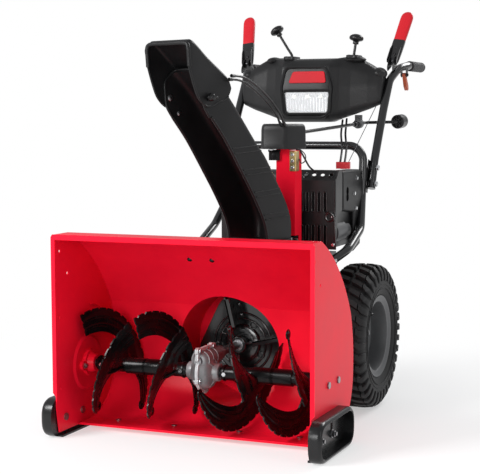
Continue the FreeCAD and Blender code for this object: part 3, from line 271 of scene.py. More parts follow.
NODE_FINISH = {
    RED: ["auger_housing", "housing_side_left", "housing_side_right", "impeller_drum", "scraper_bar",
          "auger_bearings", "chute_column"],
    BLACK_PAINT: ["chassis", "muffler_guard", "chute_crank"],
    GLOSS_BLACK: ["auger_left", "auger_right", "impeller", "lower_handle", "upper_handles"],
    GREY_PAINT: ["rim_left", "rim_right", "crank_eyelet", "electric_starter"],
    BLACK_PLASTIC: ["gear_cover", "side_cover", "engine_shroud", "fuel_tank", "belt_cover", "console",
                    "skid_shoe_left", "skid_shoe_right", "chute", "chute_ring", "deflector_knobs", "deflector",
                    "crank_knob", "fuel_cap"],
    SMOOTH_PLASTIC: ["shift_lever", "pitch_lever"],
    RED_PLASTIC: ["throttle_lever", "clutch_lever_left", "clutch_lever_right"],
    AMBER_PLASTIC: ["steering_trigger_left", "steering_trigger_right"],
    GRIP_RUBBER: ["grips"],
    TYRE_RUBBER: ["tyre_left", "tyre_right"],
    BELT_RUBBER: ["drive_belts", "friction_wheel"],
    CABLE_JACKET: ["control_cables", "pitch_cables"],
    CAST_ALU: ["auger_gearbox", "engine_block"],
    STEEL: ["crankshaft", "drive_disc", "cross_shaft", "axle_tube", "chute_pinion", "muffler", "impeller_shaft",
            "housing_bolts"],
    DARK_STEEL: ["auger_shaft"],
    BRIGHT: ["shear_pins"],
    LENS: ["headlight"],
}


def finish_nodes():
    for mat, names in NODE_FINISH.items():
        for name in names:
            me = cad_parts[name].data
            me.materials.clear()
            me.materials.append(mat)


# ---------------------------------------------------------------- mesh building

def circle(n):
    """n evenly spaced angles of a full turn."""
    return [tau * k / n for k in range(n)]


def plane(axis, points, t):
    """A plane outline set at t along x, y or z."""
    i = "xyz".index(axis)
    return [(*p[:i], t, *p[i:]) for p in points]


class Geo:
    """Vertices in design millimetres and the faces between them."""

    def __init__(self):
        self.v, self.f = [], []

    def add(self, verts, faces):
        n = len(self.v)
        self.v += [Vector(p) for p in verts]
        self.f += [tuple(i + n for i in f) for f in faces]
        return self

    def loft(self, rings, loop=False):
        """Skin through closed rings of equal length; loop joins the last ring to the first."""
        n, m = len(rings[0]), len(rings)
        verts = [p for ring in rings for p in ring]
        faces = []
        for i in range(m if loop else m - 1):
            k = (i + 1) % m
            for j in range(n):
                h = (j + 1) % n
                faces.append((i * n + j, i * n + h, k * n + h, k * n + j))
        if not loop:
            faces += [tuple(reversed(range(n))), tuple((m - 1) * n + j for j in range(n))]
        return self.add(verts, faces)

    def prism(self, outline, along):
        ring = [Vector(p) for p in outline]
        return self.loft([ring, [p + Vector(along) for p in ring]])

    def slab(self, axis, points, a, b):
        """Prism along x, y or z through a plane outline."""
        return self.loft([plane(axis, points, a), plane(axis, points, b)])

    def box(self, x0, x1, y0, y1, z0, z1):
        return self.slab("z", [(x0, y0), (x1, y0), (x1, y1), (x0, y1)], z0, z1)

    def lathe(self, origin, axis, profile, steps=48):
        """Turned body: profile is (distance along axis, radius)."""
        o, a = Vector(origin), Vector(axis).normalized()
        u, w = side_axes(a)
        spokes = [u * cos(k) + w * sin(k) for k in circle(steps)]
        return self.loft([[o + a * t + d * r for d in spokes] for t, r in profile])

    def ring(self, origin, axis, profile, steps=48):
        """Turned ring: profile is a closed outline of (distance along axis, radius)."""
        o, a = Vector(origin), Vector(axis).normalized()
        u, w = side_axes(a)
        spokes = [u * cos(k) + w * sin(k) for k in circle(steps)]
        return self.loft([[o + a * t + d * r for t, r in profile] for d in spokes], loop=True)

    def tube(self, path, r, sides=12):
        """Round bar along a path; r may be a list of one radius per point."""
        pts = [Vector(p) for p in path]
        rings = []
        side = None
        for i, p in enumerate(pts):
            d = (pts[min(i + 1, len(pts) - 1)] - pts[max(i - 1, 0)]).normalized()
            if side is None:
                side = side_axes(d)[0]
            side = (side - d * side.dot(d)).normalized()
            up = d.cross(side)
            rr = r[i] if isinstance(r, (list, tuple)) else r
            rings.append([p + (side * cos(k) + up * sin(k)) * rr for k in circle(sides)])
        return self.loft(rings)

    def hexagon(self, centre, axis, across, length):
        """Bolt head with a washer face, growing along axis from centre."""
        a = Vector(axis).normalized()
        self.lathe(centre, a, [(0, 0.58 * across), (0.12 * length, 0.60 * across),
                               (0.2 * length, 0.5 * across)], 20)
        c = Vector(centre) + a * (0.15 * length)
        r = across / sqrt(3)
        u, w = side_axes(a)
        ring = [u * cos(k) + w * sin(k) for k in circle(6)]
        return self.loft([[c + d * r for d in ring], [c + a * (0.75 * length) + d * r for d in ring],
                          [c + a * (0.85 * length) + d * (0.86 * r) for d in ring]])

    def turned(self, centre, matrix):
        c = Vector(centre)
        self.v = [c + matrix @ (p - c) for p in self.v]
        return self


def side_axes(a):
    helper = Vector(UP) if abs(a.z) < 0.9 else Vector(ACROSS)
    u = a.cross(helper).normalized()
    return u, a.cross(u).normalized()


WELD_DISTANCE = 0.00001


def build(name, geo, mat, node=None, body="machine", sharp=38, bevel=0.0, segments=2):
    """Object of a Geo that rides on its body and may take the place of a CAD node."""
    me = bpy.data.meshes.new(name)
    me.from_pydata([tuple(P(*p)) for p in geo.v], [], geo.f)
    bm = bmesh.new()
    bm.from_mesh(me)
    bmesh.ops.remove_doubles(bm, verts=bm.verts, dist=WELD_DISTANCE)
    bmesh.ops.recalc_face_normals(bm, faces=bm.faces)
    limit = radians(sharp)
    for face in bm.faces:
        face.smooth = True
    for edge in bm.edges:
        edge.smooth = len(edge.link_faces) == 2 and edge.calc_face_angle(0.0) < limit
    bm.to_mesh(me)
    bm.free()
    ob = bpy.data.objects.new(name, me)
    scene.collection.objects.link(ob)
    me.materials.append(mat)
    if bevel:
        mod = ob.modifiers.new("edge_round", "BEVEL")
        mod.width = bevel / 1000
        mod.segments = segments
        mod.limit_method = "ANGLE"
        mod.angle_limit = limit
        mod.harden_normals = False
    if body:
        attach(ob, body)
    if node:
        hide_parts(node)
    return ob


def spline(points, n):
    """n points evenly along a Catmull-Rom curve through points."""
    pts = [Vector(p) for p in points]
    dense = []
    for i in range(len(pts) - 1):
        p0, p1, p2, p3 = pts[max(i - 1, 0)], pts[i], pts[i + 1], pts[min(i + 2, len(pts) - 1)]
        for k in range(16):
            t = k / 16
            dense.append(0.5 * ((2 * p1) + (p2 - p0) * t + (2 * p0 - 5 * p1 + 4 * p2 - p3) * t * t
                                + (3 * p1 - p0 - 3 * p2 + p3) * t ** 3))
    dense.append(pts[-1])
    far = [0.0]
    for a, b in zip(dense, dense[1:]):
        far.append(far[-1] + (b - a).length)
    out, j = [], 0
    for k in range(n):
        want = far[-1] * k / (n - 1)
        while j < len(far) - 2 and far[j + 1] < want:
            j += 1
        share = (want - far[j]) / max(far[j + 1] - far[j], 1e-9)
        out.append(dense[j].lerp(dense[j + 1], min(max(share, 0), 1)))
    return out


def plane_spline(points, n):
    return [p.xy[:] for p in spline([(*p, 0) for p in points], n)]


def rounded(points, r, n=5):
    """Closed plane outline with its corners rounded to about r, n points to a corner."""
    out = []
    pts = [Vector((*p, 0)) for p in points]
    for i, b in enumerate(pts):
        a, c = pts[i - 1], pts[(i + 1) % len(pts)]
        back = min(r, 0.45 * (a - b).length, 0.45 * (c - b).length)
        p, q = b + (a - b).normalized() * back, b + (c - b).normalized() * back
        for k in range(n):
            t = k / (n - 1)
            out.append((p * (1 - t) ** 2 + b * 2 * t * (1 - t) + q * t * t).xy[:])
    return out


# ---------------------------------------------------------------- wheels

WHEEL_X, WHEEL_Y, WHEEL_R = 275.0, 675.0, 210.0
# tyre carcass, (across, radius) from the bead over the tread, and the lugs' outer line from the centre out
CARCASS = [(47.5, 119), (54, 128), (58, 146), (57.5, 163), (53, 180), (45, 189), (34, 193), (14, 195), (0, 195)]
LUG_TOP = [(5, 209.6), (22, 209.2), (38, 206.6), (50, 201), (57, 190), (60.2, 176), (60.6, 164)]
LUG_FOOT = [(5, 193), (22, 192), (36, 190), (44, 186), (50, 178), (55, 169), (56.5, 160)]
LUGS = 36


def make_tyre(side):
    name = NAMES[side]
    geo = Geo()
    centre = (side * WHEEL_X, WHEEL_Y, WHEEL_R)
    half = plane_spline(CARCASS, 22)
    profile = half + [(-x, r) for x, r in reversed(half[:-1])]
    bead = [(-43.5, 116), (-39, 108.5), (39, 108.5), (43.5, 116)]
    geo.ring(centre, ACROSS, profile + bead, 96)
    for low, high in ((150, 153), (139, 141.5)):
        for s in (1, -1):
            geo.ring(centre, ACROSS, [(s * 57.5, low), (s * 59.6, low + 0.6), (s * 59.6, high - 0.6),
                                      (s * 57.5, high)], 96)
    cx, cy, cz = centre

    def at(x, r, a):
        return (cx + x, cy + r * sin(a), cz + r * cos(a))

    for k in range(LUGS):
        for s in (1, -1):
            a0 = tau * (k + (0.0 if s > 0 else 0.5)) / LUGS
            rings = []
            for i, ((xt, rt), (xf, rf)) in enumerate(zip(LUG_TOP, LUG_FOOT)):
                skew = 0.12 * (1 - min(1, i / 3.0)) * s
                wide = (0.036, 0.040, 0.042, 0.044, 0.046, 0.042, 0.034)[i]
                a = a0 + skew
                rings.append([at(s * xf, rf, a - wide * 1.15), at(s * xt, rt - 1.0, a - wide),
                              at(s * xt, rt, a - wide * 0.9), at(s * xt, rt, a + wide * 0.9),
                              at(s * xt, rt - 1.0, a + wide), at(s * xf, rf, a + wide * 1.15)])
            geo.loft(rings[:3])
            geo.loft([[Vector(p) + Vector((s * 3.0, 0, 0)) for p in rings[2]]] + rings[3:])
    build("tyre_tread_" + name, geo, TYRE_RUBBER, "tyre_" + name, body="wheel_" + name, sharp=32)


def make_rim(side):
    """Dished pressing: bead seats, well, sloping dish, hub and its pin."""
    name = NAMES[side]
    geo = Geo()
    centre = (side * WHEEL_X, WHEEL_Y, WHEEL_R)
    axis = (side, 0, 0)
    outer = [(-48, 119), (-46, 114), (-42, 111.5), (-40, 104), (-30, 103), (30, 103), (40, 104), (42, 111.5),
             (46, 114), (48, 119), (50, 118.5), (48.6, 113), (45, 108), (43.5, 101), (40, 99.5), (10, 99),
             (-5, 97), (-13, 88), (-17, 78), (-15, 72), (-16, 66), (-23, 58), (-27, 46), (-26, 35), (-20, 31),
             (2, 29.5), (4, 27), (4, 11), (-58, 11), (-58, 20), (-46, 21), (-42, 34), (-34, 46), (-30, 58),
             (-23, 66), (-22, 72), (-24, 78), (-20, 88), (-19, 96), (-24, 99), (-43, 100), (-45, 108),
             (-48.6, 113), (-50, 118.5)]
    geo.ring(centre, axis, outer, 72)
    build("wheel_disc_" + name, geo, GREY_PAINT, "rim_" + name, body="wheel_" + name, sharp=30)
    hub = Geo()
    cx = side * WHEEL_X
    hub.lathe((side * 2, WHEEL_Y, WHEEL_R), axis, [(0, 9.5), (WHEEL_X + 8, 9.5), (WHEEL_X + 10, 7.5)], 24)
    pin_x = cx + side * 7.6
    hub.tube([(pin_x, WHEEL_Y - 17, WHEEL_R), (pin_x, WHEEL_Y + 17, WHEEL_R)], 3.2, 12)
    loop = [(pin_x + side * 2, WHEEL_Y - 15, WHEEL_R)]
    for k in range(13):
        a = pi * k / 12
        loop.append((pin_x + side * 7.5, WHEEL_Y - 15 * cos(a), WHEEL_R + 15 * sin(a)))
    loop.append((pin_x + side * 2, WHEEL_Y + 15, WHEEL_R))
    hub.tube(spline(loop, 36), 1.4, 8)
    for k in range(4):
        a = radians(45 + 90 * k)
        at = (cx - side * 17, WHEEL_Y + 66 * sin(a), WHEEL_R + 66 * cos(a))
        hub.hexagon(at, axis, 13, 6)
    build("axle_end_" + name, hub, STEEL, body="wheel_" + name, sharp=35)
    valve = Geo()
    foot = Vector((cx + side * 22, WHEEL_Y - 56, WHEEL_R + 77))
    out = Vector((side * 0.9, 0.28, -0.32)).normalized()
    valve.lathe(foot, out, [(-4, 7), (0, 7.5), (3, 5.5), (16, 4.2), (17, 4.4), (25, 4.4), (27, 3.4)], 18)
    build("tyre_valve_" + name, valve, SMOOTH_PLASTIC, body="wheel_" + name)


# ---------------------------------------------------------------- skid shoes

SHOE_X0, SHOE_X1 = 359.1, 392.0


def make_skid(side):
    """Rounded shoe: deep rim, recessed face with two upright slots, and the runner under the housing."""
    name = NAMES[side]
    geo = Geo()

    def track(inset, r):
        front, rear, top = -25 + inset, 245 - inset, 105 - inset
        return rounded([(front, inset), (rear, inset), (rear, top), (front, top)], r, 12)

    levels = [(SHOE_X0, 0, 50), (SHOE_X1 - 12, 0, 50), (SHOE_X1 - 5, 1.5, 48), (SHOE_X1 - 1.5, 4.5, 46),
              (SHOE_X1, 8.5, 42), (SHOE_X1 - 1.5, 11, 40), (SHOE_X0 + 6, 12.5, 38), (SHOE_X0, 12.5, 38)]
    geo.loft([[(side * x, y, z) for y, z in track(inset, r)] for x, inset, r in levels], loop=True)
    inner = track(11, 38)

    def reach(cy, cz, a, limit):
        """Where a ray from (cy, cz) leaves the recess or passes the line y = limit."""
        dy, dz = cos(a), sin(a)
        best = (limit - cy) / dy if (limit - cy) * dy > 1e-6 else 1e9
        for (y0, z0), (y1, z1) in zip(inner, inner[1:] + inner[:1]):
            ey, ez = y1 - y0, z1 - z0
            det = dy * -ez + dz * ey
            if abs(det) > 1e-9:
                t = ((y0 - cy) * -ez + (z0 - cz) * ey) / det
                u = (dy * (z0 - cz) - dz * (y0 - cy)) / det
                if t > 0 and -1e-6 <= u <= 1 + 1e-6:
                    best = min(best, t)
        return (cy + dy * best, cz + dz * best)
    for cy in (45, 135):
        cz = 63
        angles = circle(64)
        slot = []
        for a in angles:
            dy, dz = cos(a), sin(a)
            mid = 15 if dz > 0 else -15
            flat = 6 / abs(dy) if abs(dy) > 1e-6 else 1e9
            if abs(flat * dz) <= 15:
                t = flat
            else:
                t = mid * dz + sqrt(max(0.0, 36 - (mid * dy) ** 2))
            slot.append((cy + dy * t, cz + dz * t))
        panel = [reach(cy, cz, a, 90) for a in angles]
        near, far = side * (SHOE_X0 + 1), side * (SHOE_X0 + 5.6)
        geo.loft([[(near, y, z) for y, z in panel], [(far, y, z) for y, z in panel],
                  [(far, y, z) for y, z in slot], [(near, y, z) for y, z in slot]], loop=True)
        geo.tube([(far, y, z) for y, z in slot + slot[:1]], 1.3, 8)
    geo.box(side * (SHOE_X0 - 14), side * (SHOE_X0 + 2), 12, 208, 0, 5)
    build("skid_shoe_moulding_" + name, geo, SMOOTH_PLASTIC, "skid_shoe_" + name, body="skid_" + name, sharp=38)


# ---------------------------------------------------------------- auger, gearbox and impeller

AUGER_Y, AUGER_Z, AUGER_R, TUBE_R, UNIT_PITCH = 165.0, 175.0, 152.0, 19.0, 162.0
BLADE_IN, BLADE_EYE, TIP_CUT = 86, 117, 22
# each blade: x at its start, mm of x per degree, first and last angle, angle of its stay
BLADES = {"right": [(-338.0, 0.70, -24.0, 165.0, 92.0), (-309.0, 0.91, -168.0, -32.0, -95.0)],
          "left": [(167.0, -0.70, 65.0, 252.0, 128.0), (80.0, -0.95, -8.0, -104.0, -80.0)]}
TUBE_ENDS = {"right": (-318, -50), "left": (52, 318)}


def make_auger(side):
    """Serrated, pressed blades welded to a tube."""
    geo = Geo()
    xa, xb = TUBE_ENDS[side]
    wall = [(0, 12.8), (0, TUBE_R - 0.5), (1.5, TUBE_R), (xb - xa - 1.5, TUBE_R), (xb - xa, TUBE_R - 0.5),
            (xb - xa, 12.8)]
    geo.ring((xa, AUGER_Y, AUGER_Z), ACROSS, wall, 32)
    for x, long in ((xa + 4, 6), (xa + 88, 62), (xb - 128, 62), (xb - 12, 6)):
        geo.ring((x, AUGER_Y, AUGER_Z), ACROSS, [(0, 18), (0, 21), (1.2, 22), (long - 1.2, 22), (long, 21),
                                                 (long, 18)], 32)
    for shift in (0, UNIT_PITCH):
        for blade in BLADES[side]:
            x_at, slope, t0, t1, centre = blade
            first = blade == BLADES[side][0]
            rings = []
            steps = 8 * int(abs(t1 - t0) / 11)
            lift = 1 if slope > 0 else -1
            for k in range(steps + 1):
                theta = t0 + (t1 - t0) * k / steps
                x = x_at + shift + slope * (theta - t0)
                from_tip = abs(theta - (t1 if first else t0)) / 55
                tip = sin(pi / 2 * min(1.0, from_tip)) ** 0.7
                near = max(0.0, cos(min(1.0, abs(theta - centre) / 42) * pi / 2)) ** 1.5
                r_out = AUGER_R - TIP_CUT * (1 - tip)
                r_in = BLADE_IN + 20 * (1 - tip) - near * (BLADE_IN - TUBE_R + 2)
                a = radians(theta)
                press = [(0, 0), (0.2, 0), (0.26, 2.0), (0.32, 2.0), (0.38, 0), (0.56, 0), (0.62, 2.2),
                         (0.68, 2.2), (0.74, 0), (0.9, -1.2), (1.0, -1.6)]
                cut_back = [0] * 10 + [5.0 if k % 8 in (3, 4) else 0.0]
                ring = [(x - 1.9 + b * lift, r_in + (r_out - r_in) * t - c)
                        for (t, b), c in zip(press, cut_back)]
                ring += [(px + 3.8, r) for px, r in reversed(ring)]
                rings.append([(px, AUGER_Y + r * sin(a), AUGER_Z + r * cos(a)) for px, r in ring])
            geo.loft(rings)
            theta = t1 if first else t0
            a = radians(theta)
            eye = (x_at + shift + slope * (theta - t0), AUGER_Y + BLADE_EYE * sin(a),
                   AUGER_Z + BLADE_EYE * cos(a))
            geo.ring(eye, ACROSS, [(-2.2, 4.5), (-2.2, 12), (-1.4, 13), (1.4, 13), (2.2, 12), (2.2, 4.5)], 24)
            rib_a = radians(centre)
            x = x_at + shift + slope * (centre - t0)
            u = Vector((0, sin(rib_a), cos(rib_a)))
            foot = Vector((x, AUGER_Y, AUGER_Z)) + u * (TUBE_R - 1)
            stay = 9 * lift
            geo.tube([foot + Vector((stay, 0, 0)), foot + u * 50 + Vector((stay * 0.6, 0, 0)), foot + u * 92],
                     [5, 4.5, 2], 10)
    build("auger_ribbons_" + side, geo, AUGER_BLACK, "auger_" + side, body="auger", sharp=24)


IMP_Z, PLATE_Y, PLATE_R, BLADE_TILT = 209.0, 428.0, 137.5, -14


def make_impeller():
    """Plate with four folded paddles and a hub."""
    geo = Geo()
    edge = []
    for k in range(4):
        a = radians(BLADE_TILT + 90 * k)
        for da in (-0.28, 0.12):
            edge.append((PLATE_R * sin(a + da), IMP_Z + PLATE_R * cos(a + da)))
    geo.slab("y", rounded(edge, 16), PLATE_Y, PLATE_Y + 4)
    centre = (0, PLATE_Y, IMP_Z)
    for r, high in ((86, 4.5), (70, 4.5), (52, 9)):
        geo.ring(centre, FRONT, [(-1, r - 5), (high * 0.8, r - 3.2), (high, r - 1), (high * 0.8, r + 1.2),
                                 (-1, r + 3)], 64)
    geo.ring(centre, FRONT, [(-1, 30), (-1, 50), (7, 49), (8.5, 46), (8.5, 30)], 48)
    geo.ring(centre, FRONT, [(-15, 11.4), (-15, 23), (-14, 24), (38, 24), (40, 22), (40, 11.4)], 40)
    for k in range(4):
        blade = Geo()
        y0, y1 = PLATE_Y - 56, PLATE_Y + 2
        blade.slab("x", [(y0, IMP_Z + 40), (y0 + 10, IMP_Z + 26), (y1, IMP_Z + 26), (y1, IMP_Z + 146),
                         (y0 + 8, IMP_Z + 146), (y0, IMP_Z + 138)], -2.4, 2.4)
        blade.slab("x", [(y0, IMP_Z + 52), (y0 + 6, IMP_Z + 46), (y0 + 6, IMP_Z + 140), (y0, IMP_Z + 132)],
                   -2.4, 11)
        blade.slab("y", [(-2, IMP_Z + 58), (20, IMP_Z + 66), (20, IMP_Z + 120), (-2, IMP_Z + 130)],
                   PLATE_Y - 2.6, PLATE_Y + 0.4)
        for z in (78, 108):
            blade.hexagon((12, PLATE_Y - 2.4, IMP_Z + z), FRONT, 11, 5)
        blade.turned((0, 0, IMP_Z), Matrix.Rotation(radians(BLADE_TILT + 90 * k), 3, "Y"))
        geo.add(blade.v, blade.f)
        a = radians(31 + 90 * k)
        geo.ring((62 * sin(a), PLATE_Y, IMP_Z + 62 * cos(a)), FRONT, [(-2, 8), (-2, 12), (5, 12), (6, 11),
                                                                      (6, 9), (5, 8)], 24)
    build("fan_plate", geo, GLOSS_BLACK, "impeller", body="fan", sharp=30, bevel=0.8)
    hub = Geo()
    hub.hexagon((0, PLATE_Y - 40, IMP_Z), FRONT, 26, 1)
    build("fan_hub_face", hub, STEEL, body="fan")


GEARBOX_BOLTS = [(121.5, 235.0), (206.0, 235.0), (119.0, 156.0), (165.0, 126.0), (211.0, 156.0)]


def make_gearbox():
    """Cast halves bolted at an upright flange, with the worm's housing on top."""
    geo = Geo()
    c = (0, AUGER_Y, AUGER_Z)
    half = [(3, 13.0), (3, 50), (8, 47), (15, 45), (22, 40), (27, 31), (30, 25), (44, 23.5), (46, 21.5),
            (46, 13.0)]
    for s in (1, -1):
        geo.ring(c, (s, 0, 0), half, 56)
        for k in range(6):
            a = radians(60 * k + 20)
            u = Vector((0, sin(a), cos(a)))
            w = Vector((0, cos(a), -sin(a)))
            foot = Vector(c) + Vector((s * 20, 0, 0))

            def corner(r, wide, dx):
                return foot + u * r + w * wide + Vector((s * dx, 0, 0))
            geo.loft([[corner(20, 3, 16), corner(20, -3, 16), corner(20, -3, -8), corner(20, 3, -8)],
                      [corner(42, 2, 1), corner(42, -2, 1), corner(44, -2, -8), corner(44, 2, -8)]])
    flange = [(AUGER_Y + 56 * sin(a), AUGER_Z + 56 * cos(a)) for a in circle(72)]
    split = Geo()
    for s in (1, -1):
        split.slab("x", flange, s * 0.25, s * 4.2)
        for y, z in GEARBOX_BOLTS:
            split.lathe((s * 0.25, y, z), (s, 0, 0), [(0, 10.5), (3.9, 10.5), (4.4, 10)], 24)
        split.slab("x", [(112, IMP_Z + 2), (116, IMP_Z + 31), (150, IMP_Z + 33), (226, IMP_Z + 33),
                         (230, IMP_Z), (200, IMP_Z - 12), (140, IMP_Z - 12)], s * 0.25, s * 4.2)
    build("gearbox_split_flange", split, CAST_ALU, sharp=40, bevel=0.6)
    geo.ring((0, 112, IMP_Z), BACK, [(14, 10.5), (14, 15), (18, 20), (26, 24), (34, 25), (118, 25), (122, 22),
                                     (128, 19.5), (148, 19), (150, 17.5), (150, 10.5)], 44)
    for y in (138, 166, 194):
        geo.ring((0, y, IMP_Z), BACK, [(0, 24), (0.5, 26.8), (3.5, 26.8), (4, 24)], 44)
    build("gearbox_castings", geo, DARK_CAST, "auger_gearbox", sharp=40, bevel=0.7)
    cap = Geo()
    cap.lathe((0, 175, IMP_Z + 25), UP, [(-1, 8), (3, 8), (3.5, 6.5)], 24)
    cap.hexagon((0, 175, IMP_Z + 28), UP, 9, 6)
    build("gearbox_plugs", cap, BRIGHT, sharp=35)


# ---------------------------------------------------------------- chute

CHUTE_X, CHUTE_Y, RING_Z, CHUTE_W = 70.0, 388.0, 500.0, 136.0
RING_TEETH = 48
HINGE_S, HINGE_Z = 289.0, 896.0
AIM = radians(18.0)
# the chute's closed back and open front, (distance forward of its axis, height)
REAR_WALL = [(-62, 503.5), (-61, 560), (-40, 612), (-7, 661), (47, 737), (91, 783), (150, 850), (192, 896),
             (232, 934), (272, 966)]
FRONT_EDGE = [(52, 503.5), (66, 560), (106, 628), (167, 712), (226, 789), (292, 862), (302, 892), (308, 932)]


def chute_point(s, v, z):
    """Point s forward of the chute's axis, v to its side and z up, with the chute aimed as at rest."""
    return Vector((CHUTE_X - s * sin(AIM) + v * cos(AIM), CHUTE_Y - s * cos(AIM) - v * sin(AIM), z))


def both_sides(path, middle=()):
    """(s, v, z) points of one side, the middle and the other side backwards, as one path."""
    return [chute_point(*p) for p in [*path, *middle, *((s, -v, z) for s, v, z in reversed(path))]]


def channel(geo, backs, fronts, half, thick, corner):
    """Three sided channel: backs is the closed side, fronts the open one, both (s, z) along its length."""
    rings = []
    for (bs, bz), (fs, fz) in zip(backs, fronts):
        depth = hypot(fs - bs, fz - bz)
        us, uz = (fs - bs) / depth, (fz - bz) / depth

        def loop(h, low, r):
            pts = [(h, depth)]
            for k in range(7):
                a = pi / 2 * k / 6
                pts.append((h - r + r * cos(a), low + r - r * sin(a)))
            return pts + [(-v, d) for v, d in reversed(pts)]
        outline = loop(half, 0, corner) + list(reversed(loop(half - thick, thick, corner - thick + 1)))
        rings.append([chute_point(bs + us * d, v, bz + uz * d) for v, d in outline])
    geo.loft(rings)


def make_chute():
    """Channel with rolled edges and ribs, gear ring, bolts and hold-downs."""
    n = 44
    backs, fronts = plane_spline(REAR_WALL, n), plane_spline(FRONT_EDGE, n)
    half = CHUTE_W / 2
    geo = Geo()
    channel(geo, backs, fronts, half, 4.0, 20.0)
    # rolled front edges, the frame round the outlet and pairs of side ribs
    for s in (1, -1):
        geo.tube([chute_point(fs - 1.5, s * (half + 1.0), fz) for fs, fz in fronts[:36]], 3.4, 12)
    rim = [(fronts[i][0] + 1, half - 2, fronts[i][1]) for i in (35, 38, 41)]
    rim += [(306, half - 2, 934), (290, half - 2, 952), (276, half - 8, 965), (273, half - 22, 968)]
    geo.tube(spline(both_sides(rim), 80), 3.4, 12)

    def across(line, z):
        for (s0, z0), (s1, z1) in zip(line, line[1:]):
            if z0 <= z <= z1:
                return s0 + (s1 - s0) * (z - z0) / (z1 - z0)
        return line[-1][0]
    for s in (1, -1):
        for z in (767, 754, 709, 696, 649, 636, 586, 573):
            front, rear = across(fronts, z - 4) - 10, across(backs, z + 3) + 14
            geo.tube([chute_point(front, s * (half + 0.2), z - 3), chute_point((front + rear) / 2,
                                                                               s * (half + 0.5), z),
                      chute_point(rear, s * (half + 0.2), z + 3)], 1.8, 8)
    geo.slab("z", [tuple(chute_point(s, v, 0))[:2] for s, v in ((44, -58), (58, -58), (58, 58), (44, 58))],
             503.5, 515)
    build("chute_channel", geo, CHUTE_PLASTIC, "chute", body="chute", sharp=40)
    ring = Geo()
    ring.ring((CHUTE_X, CHUTE_Y, RING_Z), UP, [(0.3, 72.5), (0.3, 88), (4, 88), (5, 86), (6, 84.5), (11, 83.5),
                                               (12, 82), (12, 79), (8, 79), (6, 72.5)], 80)
    outline = []
    for k in range(RING_TEETH):
        for da, r in ((-0.30, 87.0), (-0.16, 91.2), (0.16, 91.2), (0.30, 87.0)):
            a = tau * (k + da) / RING_TEETH
            outline.append((CHUTE_X + r * cos(a), CHUTE_Y + r * sin(a)))
    inner = [(CHUTE_X + 86.5 * cos(tau * (k + d) / RING_TEETH),
              CHUTE_Y + 86.5 * sin(tau * (k + d) / RING_TEETH)) for k in range(RING_TEETH)
             for d in (-0.30, -0.16, 0.16, 0.30)]
    ring.loft([[(x, y, 500.3) for x, y in outline], [(x, y, 504) for x, y in outline],
               [(x, y, 504) for x, y in inner], [(x, y, 500.3) for x, y in inner]], loop=True)
    build("chute_gear_ring", ring, BLACK_PLASTIC, "chute_ring", body="chute", sharp=35)
    bolts = Geo()
    for s in (1, -1):
        inward = chute_point(0, -s, 0) - chute_point(0, 0, 0)
        bolts.lathe(chute_point(256, s * (half - 4), 856), inward, [(0, 7), (1.2, 7), (2.6, 5), (3.2, 2)], 20)
        bolts.lathe(chute_point(HINGE_S, s * (half - 4), HINGE_Z), inward,
                    [(0, 9), (1.5, 9), (3.5, 6.5), (4.4, 2)], 24)
    build("chute_bolts", bolts, STEEL, body="chute", sharp=35)
    clamps = Geo()
    for k in range(5):
        a = radians(20 + 72 * k)
        c, sn = cos(a), sin(a)
        clamps.box(CHUTE_X + 96 * c - 7, CHUTE_X + 96 * c + 7, CHUTE_Y + 96 * sn - 7, CHUTE_Y + 96 * sn + 7,
                   488, 507)
        clamps.hexagon((CHUTE_X + 97 * c, CHUTE_Y + 97 * sn, 507), UP, 10, 5)
    build("chute_hold_downs", clamps, BLACK_PAINT, sharp=35, bevel=1.0)


def make_deflector():
    """Hood over the outlet, hinged on two wing knobs."""
    backs = plane_spline([(205, 932), (213, 948), (240, 967), (290, 999), (330, 1029), (352, 1040),
                          (365, 1031)], 34)
    fronts = plane_spline([(204, 918), (212, 902), (230, 890), (255, 884), (276, 875), (300, 874), (328, 896),
                           (345, 928), (362, 973)], 34)
    half = CHUTE_W / 2 + 5.0
    geo = Geo()
    channel(geo, backs, fronts, half, 4.0, 12.0)
    # lip round the mouth
    (bs, bz), (fs, fz) = backs[-1], fronts[-1]
    lip = [(fs - 1, half - 1, fz), (fs + (bs - fs) * 0.5, half - 1, fz + (bz - fz) * 0.5),
           (bs, half - 1, bz - 14), (bs - 1, half - 12, bz - 1)]
    geo.tube(spline(both_sides(lip, [(bs - 1, 0, bz - 0.5)]), 60), 5.4, 14)
    for s in (1, -1):
        edge = [chute_point(fs2, s * (half - 1.6), fz2) for fs2, fz2 in fronts[3:]]
        geo.tube(edge, 3.0, 10)
    build("deflector_hood", geo, CHUTE_PLASTIC, "deflector", body="deflector", sharp=40)
    knob = Geo()
    for s in (1, -1):
        out = (chute_point(0, s, 0) - chute_point(0, 0, 0)).normalized()
        face = chute_point(HINGE_S, s * (half + 0.5), HINGE_Z)
        knob.lathe(face, out, [(0, 8), (3, 8), (4, 11), (12, 10), (16, 7), (17, 1)], 24)
        u, w = side_axes(out)
        for side in (1, -1):
            wing = [face + out * t + u * (side * r) + w * h
                    for t, r, h in ((5, 5, -3), (5, 16, -3), (14, 20, -2.5), (16, 12, -3), (13, 5, -3))]
            knob.prism(wing, w * 6)
        inner = chute_point(HINGE_S, s * (CHUTE_W / 2 - 4), HINGE_Z)
        knob.lathe(inner, -out, [(0, 8), (1.5, 8), (3.5, 6), (4.2, 2)], 24)
    build("wing_knobs", knob, SMOOTH_PLASTIC, "deflector_knobs", body="chute", sharp=35, bevel=0.8)


PITCH_CABLE = [(86, 150, 951), (94, 205, 949), (101, 262, 934), (106, 318, 912), (110, 372, 886),
               (113, 424, 854), (114, 446, 833)]
SECOND_CABLE = [(x - 8, y + 2, z - 9) for x, y, z in PITCH_CABLE[:-1]] + [(105, 440, 832)]


